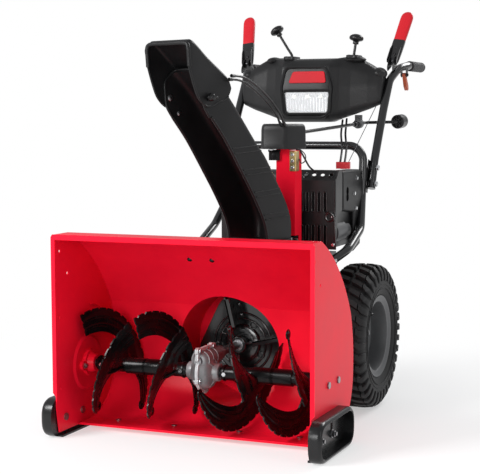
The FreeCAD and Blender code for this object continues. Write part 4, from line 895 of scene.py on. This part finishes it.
def make_pitch_cables():
    """Two sheathed cables from the control head to the hood."""
    geo = Geo()
    for route, foot in ((PITCH_CABLE, (115, 460, 820)), (SECOND_CABLE, (106, 458, 820))):
        line = spline(route + [foot], 60)
        geo.tube(line, 3.1, 12)
        geo.tube(line[:5], [4.6, 4.6, 4.4, 4.0, 3.2], 12)
        geo.tube(line[-5:], [3.2, 4.0, 4.6, 4.8, 4.8], 12)
    ob = build("pitch_cable_pair", geo, CABLE_JACKET, "pitch_cables", body=None, sharp=50)
    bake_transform(ob)


# ---------------------------------------------------------------- console and controls

CONSOLE = [
    (0, [(950, 828), (930, 842), (926, 930), (938, 1004), (962, 1024), (1040, 1030), (1064, 1000),
         (1056, 900), (1010, 828)]),
    (78, [(950, 828), (930, 844), (926, 930), (938, 1004), (964, 1024), (1040, 1030), (1064, 1000),
          (1056, 900), (1010, 829)]),
    (104, [(964, 838), (948, 856), (944, 934), (956, 1004), (978, 1028), (1040, 1034), (1064, 1000),
           (1056, 904), (1014, 840)]),
    (140, [(974, 850), (960, 868), (958, 936), (968, 996), (986, 1030), (1040, 1034), (1062, 996),
           (1054, 910), (1018, 852)]),
    (190, [(984, 866), (972, 882), (970, 940), (978, 980), (994, 1006), (1040, 1008), (1056, 980),
           (1050, 916), (1022, 870)]),
    (228, [(992, 882), (984, 894), (982, 940), (988, 968), (1000, 982), (1036, 984), (1048, 964), (1044, 922),
           (1024, 886)])]


def console_ring(x):
    """Rounded (y, z) section of the dashboard at x."""
    ax = abs(x)
    for (xa, a), (xb, b) in zip(CONSOLE, CONSOLE[1:]):
        if ax <= xb:
            t = (ax - xa) / (xb - xa)
            pts = [(p[0] + (q[0] - p[0]) * t, p[1] + (q[1] - p[1]) * t) for p, q in zip(a, b)]
            break
    return plane("x", rounded(pts, 11, 6), x)


def make_dashboard():
    """Dashboard shell with the lamp's surround and its rounded top swellings."""
    geo = Geo()
    half_xs = [0, 26, 52, 77, 79, 82, 90, 98, 102, 105, 109, 118, 128, 137, 140, 143, 152, 164, 176, 187, 190,
               193, 204, 216, 228]
    xs = [-x for x in half_xs[:0:-1]] + half_xs
    rings = [console_ring(x) for x in xs]
    ends = []
    for end, inner in ((rings[0], -1), (rings[-1], 1)):
        cy = sum(p[1] for p in end) / len(end)
        cz = sum(p[2] for p in end) / len(end)
        more = []
        for grow, dx in ((0.94, 3.0), (0.82, 5.0), (0.5, 6.0)):
            more.append([(p[0] + inner * dx, cy + (p[1] - cy) * grow, cz + (p[2] - cz) * grow) for p in end])
        ends.append(more)
    geo.loft(list(reversed(ends[0])) + rings + ends[1])
    edge = rounded([(-59, 839), (65, 839), (82, 853), (93, 935), (71, 1003), (-70, 1003), (-84, 936),
                    (-73, 853)], 16, 6)
    middle = Vector((5.0, 921.0))

    def drawn_in(by):
        arms = [Vector(p) - middle for p in edge]
        return [(middle + d * (1 - by / d.length))[:] for d in arms]

    def front(line, dy):
        return [(x, 927 + 0.16 * max(0, z - 935) + dy, z) for x, z in line]
    crest, inner = drawn_in(4.0), drawn_in(9.5)
    geo.loft([front(edge, 14), front(edge, -3.5), front(crest, -6.5), front(inner, -3.5), front(inner, 14)],
             loop=True)
    outer = rounded([(-64, 850), (87, 850), (91, 930), (-72, 930)], 15, 6)
    crest = rounded([(-60, 854), (82.5, 854), (86, 926), (-68, 926)], 12, 6)
    hole = rounded([(-56.5, 858), (79, 858), (82.5, 922), (-64.5, 922)], 9, 6)
    geo.loft([plane("y", outer, 934), plane("y", outer, 922), plane("y", crest, 918), plane("y", hole, 920),
              plane("y", hole, 938)], loop=True)
    for x, wide in ((-69, 30), (139, 38), (-128, 24)):
        rings = []
        for k in range(11):
            t = k / 10
            w = max(0.03, sin(pi * t)) ** 0.5
            px = x + wide * (2 * t - 1)
            rings.append([(px, 1002 + 36 * w * cos(a), 1022 + 13 * w * sin(a)) for a in circle(24)])
        geo.loft(rings)
    build("dashboard_shell", geo, BLACK_PLASTIC, "console", sharp=34)


def make_dashboard_panels():
    """Rear panel, lever gates, lever housings and the blank badge."""
    back = Geo()
    for s in (1, -1):
        back.loft([[(s * x, 1058 - 0.04 * abs(x), z)
                    for x, z in ((60, 905), (196, 922), (204, 972), (160, 1000), (60, 992))],
                   [(s * x, 1066 - 0.05 * abs(x), z)
                    for x, z in ((64, 909), (192, 925), (200, 970), (158, 996), (64, 988))]])
    back.slab("x", [(1050, 985), (1069, 985), (1069, 930), (1060, 905), (1050, 905)], -48, 48)
    for k in range(5):
        back.slab("x", [(1067, 930 + 10 * k), (1071, 931 + 10 * k), (1071, 934 + 10 * k), (1067, 935 + 10 * k)],
                  -40, 40)
    build("dashboard_rear_panel", back, SMOOTH_PLASTIC, sharp=34, bevel=2.0, segments=3)
    gates = Geo()
    for x in (-69, 139):
        gate, crown, slot = [rounded([(x - w, y0), (x + w, y0), (x + w, y1), (x - w, y1)], r)
                             for w, y0, y1, r in ((17, 966, 1036, 8), (15, 968, 1034, 8), (6, 974, 1028, 5))]
        top = 1034.0 if x < 0 else 1035.0
        gates.loft([plane("z", gate, top - 8), plane("z", gate, top), plane("z", crown, top + 1.5),
                    plane("z", slot, top + 1.5), plane("z", slot, top - 8)], loop=True)
        for k in range(4):
            gates.box(x - 13, x - 8, 977 + 15 * k, 979 + 15 * k, top + 1.2, top + 2.4)
    build("lever_gates", gates, SMOOTH_PLASTIC, sharp=34)
    humps = Geo()
    for s in (1, -1):
        rings = []
        for k in range(13):
            t = k / 12
            w = sin(pi * (0.08 + 0.84 * t)) ** 0.6
            x = s * (196 + 42 * t)
            rings.append([(x, 1018 + 34 * w * cos(a), 978 + 20 * w * sin(a)) for a in circle(24)])
        humps.loft(rings)
    build("lever_housings", humps, BLACK_PLASTIC, sharp=50)
    badge = Geo()
    plate = rounded([(-53, 950), (71, 950), (64, 986), (-40, 986)], 7)
    badge.loft([plane("y", plate, 936.0), [(x, 923.4 + 0.16 * (z - 935), z) for x, z in plate]])
    build("blank_badge", badge, BADGE_RED, sharp=34, bevel=1.2, segments=3)


def make_lamp():
    """Reflector with its flutes, three emitters and the cover."""
    lamp_in = Geo()
    lamp_in.slab("y", [(-56, 858), (78.5, 858), (82, 921), (-64, 921)], 925.3, 930)
    for k in range(15):
        x = -58 + 9.6 * k
        lamp_in.slab("z", [(x - 4.0, 925.6), (x - 1.4, 922.8), (x + 1.4, 922.8), (x + 4.0, 925.6)],
                     860 + (k % 2), 905)
    for k in range(13):
        x = -54 + 10.6 * k
        lamp_in.box(x - 3.2, x + 3.2, 922.6, 925.6, 910 - (k % 3), 917)
    build("lamp_reflector", lamp_in, CHROME, sharp=30)
    leds = Geo()
    for mid in (-33, 11, 55):
        leds.lathe((mid, 925.6, 908), FRONT, [(0, 8), (1.6, 7.6), (2.8, 5), (3.2, 2)], 24)
    build("lamp_emitters", leds, LED, sharp=40)
    glass = Geo()
    face = rounded([(-57, 857.5), (79.5, 857.5), (83, 922.5), (-65, 922.5)], 9)
    glass.slab("y", face, 921.8, 920.2)
    build("lamp_cover", glass, LENS, "headlight", sharp=34)


LEVER_PIVOT = (247.0, 1062.0, 1019.0)
LEVER_TOP = (274.0, 1145.0, 1175.0)


def make_clutch_lever(side):
    """Steel blade with a red moulded sleeve over its upper part."""
    name = NAMES[side]
    b = Vector((side * LEVER_PIVOT[0], *LEVER_PIVOT[1:]))
    t = Vector((side * LEVER_TOP[0], *LEVER_TOP[1:]))
    along = (t - b).normalized()
    u = (Vector(ACROSS) - along * along.x).normalized()
    w = along.cross(u)
    long = (t - b).length

    def section(h, half, thick, n=28, power=3.2):
        out = []
        for a in circle(n):
            cx, cy = cos(a), sin(a)
            out.append(b + along * h + u * (half * copysign(abs(cx) ** (2 / power),
                                                            cx)) + w * (thick * copysign(abs(cy) ** (2 / power),
                                                                                         cy)))
        return out
    sleeve = Geo()
    hs = [72, 72.6, 76, 95, 120, 150, long - 20, long - 12, long - 6, long - 2, long]
    halves = [16.0, 18.4, 19.2, 19.5, 19.8, 20.0, 19.6, 17.6, 13.4, 8.0, 2.5]
    thicks = [6.0, 7.4, 8.0, 8.4, 8.6, 8.6, 8.4, 7.6, 5.8, 3.6, 1.2]
    sleeve.loft([section(h, a, c) for h, a, c in zip(hs, halves, thicks)])
    build("lever_sleeve_" + name, sleeve, RED_PLASTIC, "clutch_lever_" + name, body="clutch_" + name, sharp=40)
    blade = Geo()
    blade.loft([section(h, a, c, 28, 5) for h, a, c in ((-14, 8, 3), (-12, 13, 3), (-6, 17, 3.2),
                                                        (0, 18.6, 3.4), (10, 19.2, 3.8), (34, 19.4, 7.0),
                                                        (60, 19.4, 8.0), (74, 19.2, 8.0))])
    for flank in (1, -1):
        blade.loft([[b + along * h + u * (flank * o) + w * t
                     for o, t in ((13.6, -3), (16.4, -3), (16.4, -d), (13.6, -d))]
                    for h, d in ((-10, 8), (-4, 15), (34, 16), (52, 9), (60, 4))])
    build("lever_blade_" + name, blade, GLOSS_BLACK, body="clutch_" + name, sharp=34, bevel=0.5)
    nut = Geo()
    nut.hexagon(tuple(b - w * 2.6), tuple(-w), 13, 6)
    nut.hexagon(tuple(b + w * 2.6), tuple(w), 13, 6)
    for h in (22, 46):
        nut.hexagon(tuple(b + along * h + w * 5.0), tuple(w), 9, 4)
        nut.lathe(tuple(b + along * h - w * 5.0), tuple(-w), [(0, 5), (1, 5), (2.6, 3.4), (3, 1)], 20)
    build("lever_pivot_" + name, nut, DARK_STEEL, body="clutch_" + name, sharp=35)


GRIP_X, GRIP_Z = 273.0, 1005.0


def make_grip(side):
    """Ribbed rubber sleeve."""
    name = NAMES[side]
    geo = Geo()
    profile = [(0, 12.8), (0, 16.4), (3, 16.5), (5, 15.2)]
    for k in range(13):
        y = 10 + 8.6 * k
        profile += [(y, 15.1), (y + 1.2, 16.3), (y + 5.2, 16.4), (y + 6.4, 15.1)]
    profile += [(126, 15.0), (128, 16.4), (135, 16.5), (138.4, 15.2), (139.6, 11), (139.9, 4)]
    geo.lathe((side * GRIP_X, 1160, GRIP_Z), BACK, profile, 40)
    build("grip_" + name, geo, GRIP_RUBBER, "grips" if side > 0 else None, sharp=30)


def make_small_levers():
    """Gear shift and hood pitch levers with mushroom knobs."""
    for name, x, top in (("shift", -69, (-114, 1004, 1108)), ("pitch", 139, (143.5, 1003, 1076))):
        foot, bend = (x, 1000, 978), (x, 1000, 1040)
        stem = Geo()
        stem.tube(spline([foot, Vector(foot).lerp(Vector(bend), 0.7), bend,
                          Vector(bend).lerp(Vector(top), 0.35), top], 30), 4.2, 16)
        stem.lathe((x - 8, 1000, 985), ACROSS, [(0, 6.5), (1, 7), (15, 7), (16, 6.5)], 24)
        build(name + "_stem", stem, BLACK_PAINT, name + "_lever", body=name + "_lever", sharp=40)
        knob = Geo()
        along = (Vector(top) - Vector(bend)).normalized()
        base = Vector(top) - along * 6
        knob.lathe(base, along, [(0, 8), (2, 9.4), (7, 8.6), (10, 11), (12, 18), (15, 21.6), (20, 22.6),
                                 (25, 20.6), (29, 15), (31.5, 8), (32.4, 1)], 36)
        build(name + "_knob", knob, SMOOTH_PLASTIC, body=name + "_lever", sharp=45)


def make_triggers():
    """Steering triggers under the grips and their brackets."""
    for side, name in NAMES.items():
        geo = Geo()
        x0 = side * (GRIP_X - 3)
        outline = rounded([(1105, 975), (1110, 983), (1116, 975), (1141, 945), (1145, 932), (1137, 926),
                           (1121, 940)], 5)
        geo.slab("x", outline, x0 - 5.4, x0 + 5.4)
        geo.lathe((x0 - 6, 1110, 976), ACROSS, [(0, 5), (1, 6.4), (11, 6.4), (12, 5)], 20)
        for k in range(4):
            at = Vector((x0, 1121 + 5.2 * k, 940.5 - 3.0 * k))
            geo.tube([at - Vector((5.2, 0, 0)), at + Vector((5.2, 0, 0))], 1.2, 8)
        build("trigger_" + name + "_moulding", geo, AMBER_PLASTIC, "steering_trigger_" + name,
              body="trigger_" + name, sharp=40, bevel=1.2, segments=3)
        bracket = Geo()
        for dx in (-9.5, 8):
            bracket.slab("x", [(1098, 992), (1122, 998), (1120, 972), (1110, 968), (1101, 972)], x0 + dx,
                         x0 + dx + 1.5)
        bracket.hexagon((x0 + side * 9.5, 1110, 976), (side, 0, 0), 9, 4)
        build("trigger_bracket_" + name, bracket, BLACK_PAINT, sharp=35, bevel=0.5)


def make_crank():
    """Chute crank: a rod, its bent arm and a turning grip."""
    a, b = Vector((104.6, 517.0, 796.5)), Vector((153.9, 1078.0, 825.6))
    along = (b - a).normalized()
    arm_end = b + Vector((101, 0, 2))
    rod = Geo()
    rod.lathe(a, along, [(0, 6.5), (12, 16), (12.5, 14), (13, 5)], 32)
    elbow = [a, a + along * 200, a + along * 400, b - along * 24, b - along * 8,
             b + Vector((4, 0, 0)) + along * 1, b + Vector((16, 0, 0.3)), arm_end - Vector((20, 0, 0.4)),
             arm_end - Vector((7, 0, 0)), arm_end + along * 5, arm_end + along * 18, arm_end + along * 52]
    rod.tube(spline(elbow, 150), 4.9, 14)
    rod.lathe(a + along * 470, along, [(0, 5), (0, 8), (20, 8), (20, 5)], 24)
    build("crank_rod", rod, BLACK_PAINT, "chute_crank", body="crank", sharp=40)
    knob = Geo()
    k0 = arm_end + along * 8
    knob.ring(k0, along, [(0, 17), (0, 20.5), (1.5, 22), (38, 22), (40.5, 20), (42, 17), (40, 15.5), (3, 15.5)],
              44)
    knob.ring(k0, along, [(6, 5.2), (6, 21), (36, 21), (36, 5.2)], 40)
    knob.ring(k0, along, [(0.5, 5.2), (0.5, 8.4), (41, 8.4), (41, 5.2)], 28)
    u, w = side_axes(along)
    for a in circle(7):
        d = u * cos(a) + w * sin(a)
        e = along.cross(d)
        knob.loft([[k0 + along * t + d * r + e * h for r, h in ((6, 1.3), (19, 1.3), (19, -1.3), (6, -1.3))]
                   for t in (1, 41)])
    build("crank_grip", knob, SMOOTH_PLASTIC, "crank_knob", body="crank_knob", sharp=40)


# ---------------------------------------------------------------- engine and drive covers

CRANK_Z, SHROUD_MID_Z = 530.0, 552
TANK_AT, TANK_HALF, CAP_AT = (-58, 703), (118, 81), (-110, 700)


def make_recoil_shroud():
    """Rear shroud with the recoil starter and its handle."""
    shroud = Geo()
    outline = []
    for k in range(40):
        a = radians(-12 + 204 * k / 39)
        outline.append((118 * cos(a), 560 + 118 * sin(a)))
    outline = rounded(outline + [(-117.5, 448), (117.5, 448)], 10, 3)

    def grown(g, y):
        return [(x * g, y, SHROUD_MID_Z + (z - SHROUD_MID_Z) * g) for x, z in outline]
    shroud.loft([grown(1.0, 794), grown(1.0, 848), grown(0.985, 857), grown(0.95, 864), grown(0.88, 868),
                 grown(0.68, 869.5)])
    shroud.ring((0, 866, CRANK_Z), BACK, [(0, 40), (0, 74), (14, 73), (20, 69), (23, 62), (23, 40), (20, 36),
                                          (10, 34)], 64)
    shroud.lathe((0, 866, CRANK_Z), BACK, [(0, 35), (14, 35), (19, 33), (22, 27), (23, 3)], 48)
    for a in circle(24):
        u = Vector((cos(a), 0, sin(a)))
        w = Vector((-sin(a), 0, cos(a)))
        c = Vector((0, 868, CRANK_Z))

        def corner(r, wide, dy):
            return c + u * r + w * wide + Vector((0, dy, 0))
        shroud.loft([[corner(75, 2.4, 0), corner(75, -2.4, 0), corner(75, -2.4, 6), corner(75, 2.4, 6)],
                     [corner(92, 2.4, 0), corner(92, -2.4, 0), corner(92, -1.6, 3), corner(92, 1.6, 3)]])
    build("recoil_shroud", shroud, BLACK_PLASTIC, "engine_shroud", sharp=36)
    pull = Geo()
    bar = [(-34, 0), (-30, 7), (-10, 8.5), (10, 8.5), (30, 7), (34, 0), (30, -6), (10, -7), (-10, -7),
           (-30, -6)]
    pull.loft([[(x * g, y, 594 + z * g) for x, z in bar] for y, g in ((884, 0.9), (887, 1.0), (898, 1.0),
                                                                      (902, 0.86))])
    pull.lathe((0, 876, 594), BACK, [(0, 9), (6, 8), (9, 5)], 24)
    build("recoil_handle", pull, SMOOTH_PLASTIC, sharp=40)


def make_shield_and_bolts():
    """Heat shield behind the muffler guard and the bolts of all the covers."""
    shield = Geo()
    shield.box(104, 214, 600, 604, 470, 652)
    shield.box(104, 214, 604, 640, 655, 658)
    shield.box(206, 208, 604, 760, 470, 655)
    build("engine_heat_shield", shield, BLACK_PAINT, sharp=35, bevel=0.6)
    bolts = Geo()
    for x, z in ((-96, 470), (96, 470), (-100, 600), (100, 600), (0, 668)):
        bolts.hexagon((x, 866.5, z), BACK, 11, 5)
    for x in (-104, 0, 104):
        bolts.hexagon((x, 534.0, 456), FRONT, 10, 5)
    for y, z in ((774, 663), (751, 619), (767, 574), (768, 484)):
        bolts.hexagon((221.5, y, z), ACROSS, 10, 5)
    for x in (104, 216):
        for z in (560, 480):
            bolts.hexagon((x + 4 if x < 200 else x - 4, 587.6, z), FRONT, 8, 4)
    for side in (1, -1):
        for y, z in ((500, 160), (560, 160), (760, 160), (500, 420), (600, 425), (780, 420)):
            bolts.hexagon((side * 150, y, z), (side, 0, 0), 13, 6)
    for x, z in ((-130, 160), (0, 160), (130, 160), (-130, 418), (130, 418), (-130, 290), (130, 290)):
        bolts.hexagon((x, 800, z), BACK, 13, 6)
    build("cover_bolts", bolts, BRIGHT, sharp=35)


def make_guard_edges():
    """Rims of the guard's louvres and holes, and its folded edges."""
    lips = Geo()
    for row_z in (578, 484):
        for k in range(5):
            x = 116 + 18 * k
            loop = [(x + 4.6 * cos(a), 587.6, row_z + (48 if sin(a) >= 0 else 0) + 4.6 * sin(a))
                    for a in circle(28)]
            lips.tube(loop + loop[:1], 1.5, 8)
    for k in range(4):
        c = Vector((124 + 26 * k, 600, 678))
        lips.ring(c, (0, -0.75, 0.66), [(-1, 6.4), (1.2, 6.8), (1.8, 7.8), (1.2, 8.8), (-1, 9.2)], 28)
    lips.ring((203, 588, 560), FRONT, [(0, 8.4), (0, 15), (5, 15), (6, 13.5), (6, 9.5), (5, 8.4)], 28)
    lips.tube([(100.6, 588, 470), (100.6, 588, 660)], 1.8, 8)
    lips.tube([(218.5, 588, 484), (218.5, 588, 662), (218.5, 612, 690)], 2.4, 8)
    build("guard_lips", lips, GLOSS_BLACK, sharp=45)


def make_fuel_tank():
    """Tank moulding with its seam and feet, and the knurled cap."""
    tank = Geo()
    rings = []
    for z, g, soft in ((612, 0.90, 20), (616, 0.97, 22), (622, 1.0, 24), (640, 1.0, 24), (642, 1.012, 24),
                       (646, 1.012, 24), (648, 1.0, 24), (668, 1.0, 24), (678, 0.975, 24), (684, 0.93, 24),
                       (686, 0.86, 24), (687, 0.6, 24)):
        w, d = TANK_HALF[0] * g, TANK_HALF[1] * g
        pts = rounded([(-w, -d), (w, -d), (w, d), (-w, d)], soft, 6)
        rings.append([(TANK_AT[0] + x, TANK_AT[1] + y, z) for x, y in pts])
    tank.loft(rings)
    tank.lathe((-110, 700, 680), UP, [(0, 30), (7, 29), (9.5, 26)], 36)
    for x in (-150, 30):
        for y in (640, 766):
            tank.lathe((x, y, 604), UP, [(0, 11), (12, 13)], 20)
    build("fuel_tank_moulding", tank, BLACK_PLASTIC, "fuel_tank", sharp=34)
    cap = Geo()
    cx, cy = CAP_AT
    rim = []
    for k, a in enumerate(circle(60)):
        r = 31.6 if k % 5 in (0, 1, 2) else 29.6
        rim.append((cx + r * cos(a), cy + r * sin(a)))

    def scaled(line, gx, gy, z):
        return [(cx + (x - cx) * gx, cy + (y - cy) * gy, z) for x, y in line]
    cap.loft([scaled(rim, g, g, z) for g, z in ((0.96, 690.6), (1.0, 692), (1.0, 707), (0.95, 710.5),
                                                (0.8, 711.8), (0.4, 712))])
    ridge = rounded([(-132, 695), (-88, 695), (-88, 705), (-132, 705)], 4)
    cap.loft([plane("z", ridge, 711), plane("z", ridge, 715), scaled(ridge, 0.9, 0.7, 717)])
    build("fuel_cap_moulding", cap, SMOOTH_PLASTIC, "fuel_cap", body="fuel_cap", sharp=34)


HEAD_PLAN = [(26, 545), (26, 494), (46, 484), (46, 452), (118, 452), (150, 545)]
HEAD_AT = (88, 502)


def make_head_details():
    """Crowned control head, the yellow zinc bracket on the column and the small box below the head."""
    head = Geo()
    cx, cy = HEAD_AT
    rim = rounded(HEAD_PLAN, 12, 6)
    rings = []
    for z, g in ((756, 0.97), (756, 1.0), (772, 1.0), (773, 0.992), (808, 0.985), (817, 0.965), (823, 0.92),
                 (825.6, 0.85), (826, 0.6)):
        rings.append([(cx + (x - cx) * g, cy + (y - cy) * g, z) for x, y in rim])
    head.loft(rings)
    build("head_cover", head, BLACK_PLASTIC, "gear_cover", sharp=34)
    box = Geo()
    box.box(60, 92, 474, 480.4, 724, 751)
    box.box(58, 94, 474, 480.4, 748, 754)
    box.lathe((76, 474, 737), FRONT, [(0, 8), (0.6, 7.5), (0.9, 5)], 20)
    build("head_switch_box", box, SMOOTH_PLASTIC, sharp=34, bevel=1.0)
    strip = Geo()
    strip.box(121, 138, 477.6, 480.4, 694, 750)
    strip.box(136.6, 139, 480, 506, 694, 750)
    build("column_bracket", strip, ZINC, sharp=34, bevel=0.6)
    bolts = Geo()
    for z in (704, 722, 740):
        bolts.hexagon((130, 477.6, z), FRONT, 8, 4)
    for x, z in ((86, 470), (130, 470)):
        bolts.hexagon((x, 481, z), FRONT, 11, 5)
    for x in (70, 134):
        bolts.hexagon((x, 470 if x < 100 else 510, 755.4), (0, 0, -1), 9, 4)
    build("column_bolts", bolts, BRIGHT, sharp=35)
    wires = Geo()
    loop = [(132, 500, 754), (148, 498, 752), (160, 500, 738), (158, 502, 722), (146, 504, 716),
            (140, 506, 728)]
    wires.tube(spline(loop, 40), 1.5, 8)
    wires.tube(spline([(134, 520, 756), (146, 530, 730), (150, 560, 704), (156, 588, 690)], 40), 2.6, 8)
    wires.tube([(211, 1000, 876), (213, 700, 697)], 1.1, 8)
    build("loose_wires", wires, DARK_STEEL, sharp=50)


def make_housing_details():
    """Weld beads, drum saddle and clips of the auger housing."""
    weld = Geo()
    for s in (1, -1):
        line = []
        for k in range(40):
            a = radians(-90 + 200 * k / 39)
            line.append((s * 352.5, 165 + 160.2 * cos(a), 175 + 160.2 * sin(a)))
        line = [p for p in line if not (p[1] < 170 and p[2] > 175)]
        path = spline(line, 90)
        weld.tube(path, [2.2 + 0.5 * sin(2.1 * k) for k in range(90)], 8)
    for s in (1, -1):
        for y, z in ((16, 524), (16, 320), (16, 130), (60, 524)):
            weld.lathe((s * 352.2, y, z), (-s, 0, 0), [(0, 4.5), (0.6, 4.2), (1.0, 2)], 16)
    build("housing_welds", weld, RED, sharp=60)
    saddle = Geo()
    rings = []
    for a in circle(96):
        z = IMP_Z + 150 * cos(a)
        if z < 175:
            wall = 165 + sqrt(163 ** 2 - (175 - z) ** 2)
        elif z < 331:
            wall = 328 - 21 * ((z - 175) / 156) ** 3
        else:
            wall = 307 - 0.48 * (z - 331) - 0.0025 * (z - 331) ** 2
        rings.append([(r * sin(a), y, IMP_Z + r * cos(a)) for y, r in ((wall - 1, 150.1), (330, 150.1),
                                                                       (330, 153), (wall - 1, 153))])
    saddle.loft(rings, loop=True)
    build("drum_saddle", saddle, RED, sharp=40)
    clips = Geo()
    for x in (-55, 10):
        clips.lathe((x, 192, 468), (0, -0.62, -0.78), [(-2, 7), (1, 7.5), (3, 6), (4, 2)], 20)
    for x in (-300, -150, 0, 150, 300):
        clips.lathe((x, 7, 524.5), FRONT, [(0, 0.1), (0.4, 0.1)], 6)
    build("housing_clips", clips, SMOOTH_PLASTIC, sharp=50)


def make_handle_details():
    """Bolts, straps and lever lugs of the handle tubes."""
    joints = Geo()
    for s in (1, -1):
        for at in ((s * 243, 853, 642), (s * 243, 871, 690)):
            joints.hexagon((at[0] + s * 12.5, at[1], at[2]), (s, 0, 0), 15, 7)
            joints.lathe((at[0] - s * 12.0, at[1], at[2]), (-s, 0, 0), [(0, 9), (3, 9), (5, 6)], 20)
    for s in (1, -1):
        for at in ((s * 178, 527, 407), (s * 205, 585, 433)):
            joints.hexagon((at[0] + s * 12.0, at[1], at[2]), (s, 0, 0), 15, 7)
    build("handle_bolts", joints, BRIGHT, sharp=35)
    straps = Geo()
    for s in (1, -1):
        rings = []
        for y, z in ((846, 618), (853, 640), (871, 690), (880, 712)):
            rings.append([(s * 230.5, y - 11, z + 4), (s * 230.5, y + 11, z - 4), (s * 227.5, y + 11, z - 4),
                          (s * 227.5, y - 11, z + 4)])
        straps.loft(rings)
        lug = rounded([(1030, 985), (1075, 1002), (1078, 1026), (1060, 1034), (1045, 1026), (1026, 1000)], 7)
        for dx in (-9.5, 7):
            straps.slab("x", lug, s * 247 + dx, s * 247 + dx + 2.5)
    build("handle_plates", straps, BLACK_PAINT, sharp=35, bevel=0.8)


# ---------------------------------------------------------------- assembly

make_camera()
make_studio()
finish_nodes()
for side in NAMES:
    for make in (make_tyre, make_rim, make_skid, make_clutch_lever, make_grip):
        make(side)
for side in ("left", "right"):
    make_auger(side)
for make in (make_impeller, make_gearbox, make_chute, make_deflector, make_pitch_cables, make_dashboard,
             make_dashboard_panels, make_lamp, make_small_levers, make_triggers, make_crank, make_recoil_shroud,
             make_shield_and_bolts, make_guard_edges, make_fuel_tank, make_head_details, make_housing_details,
             make_handle_details):
    make()
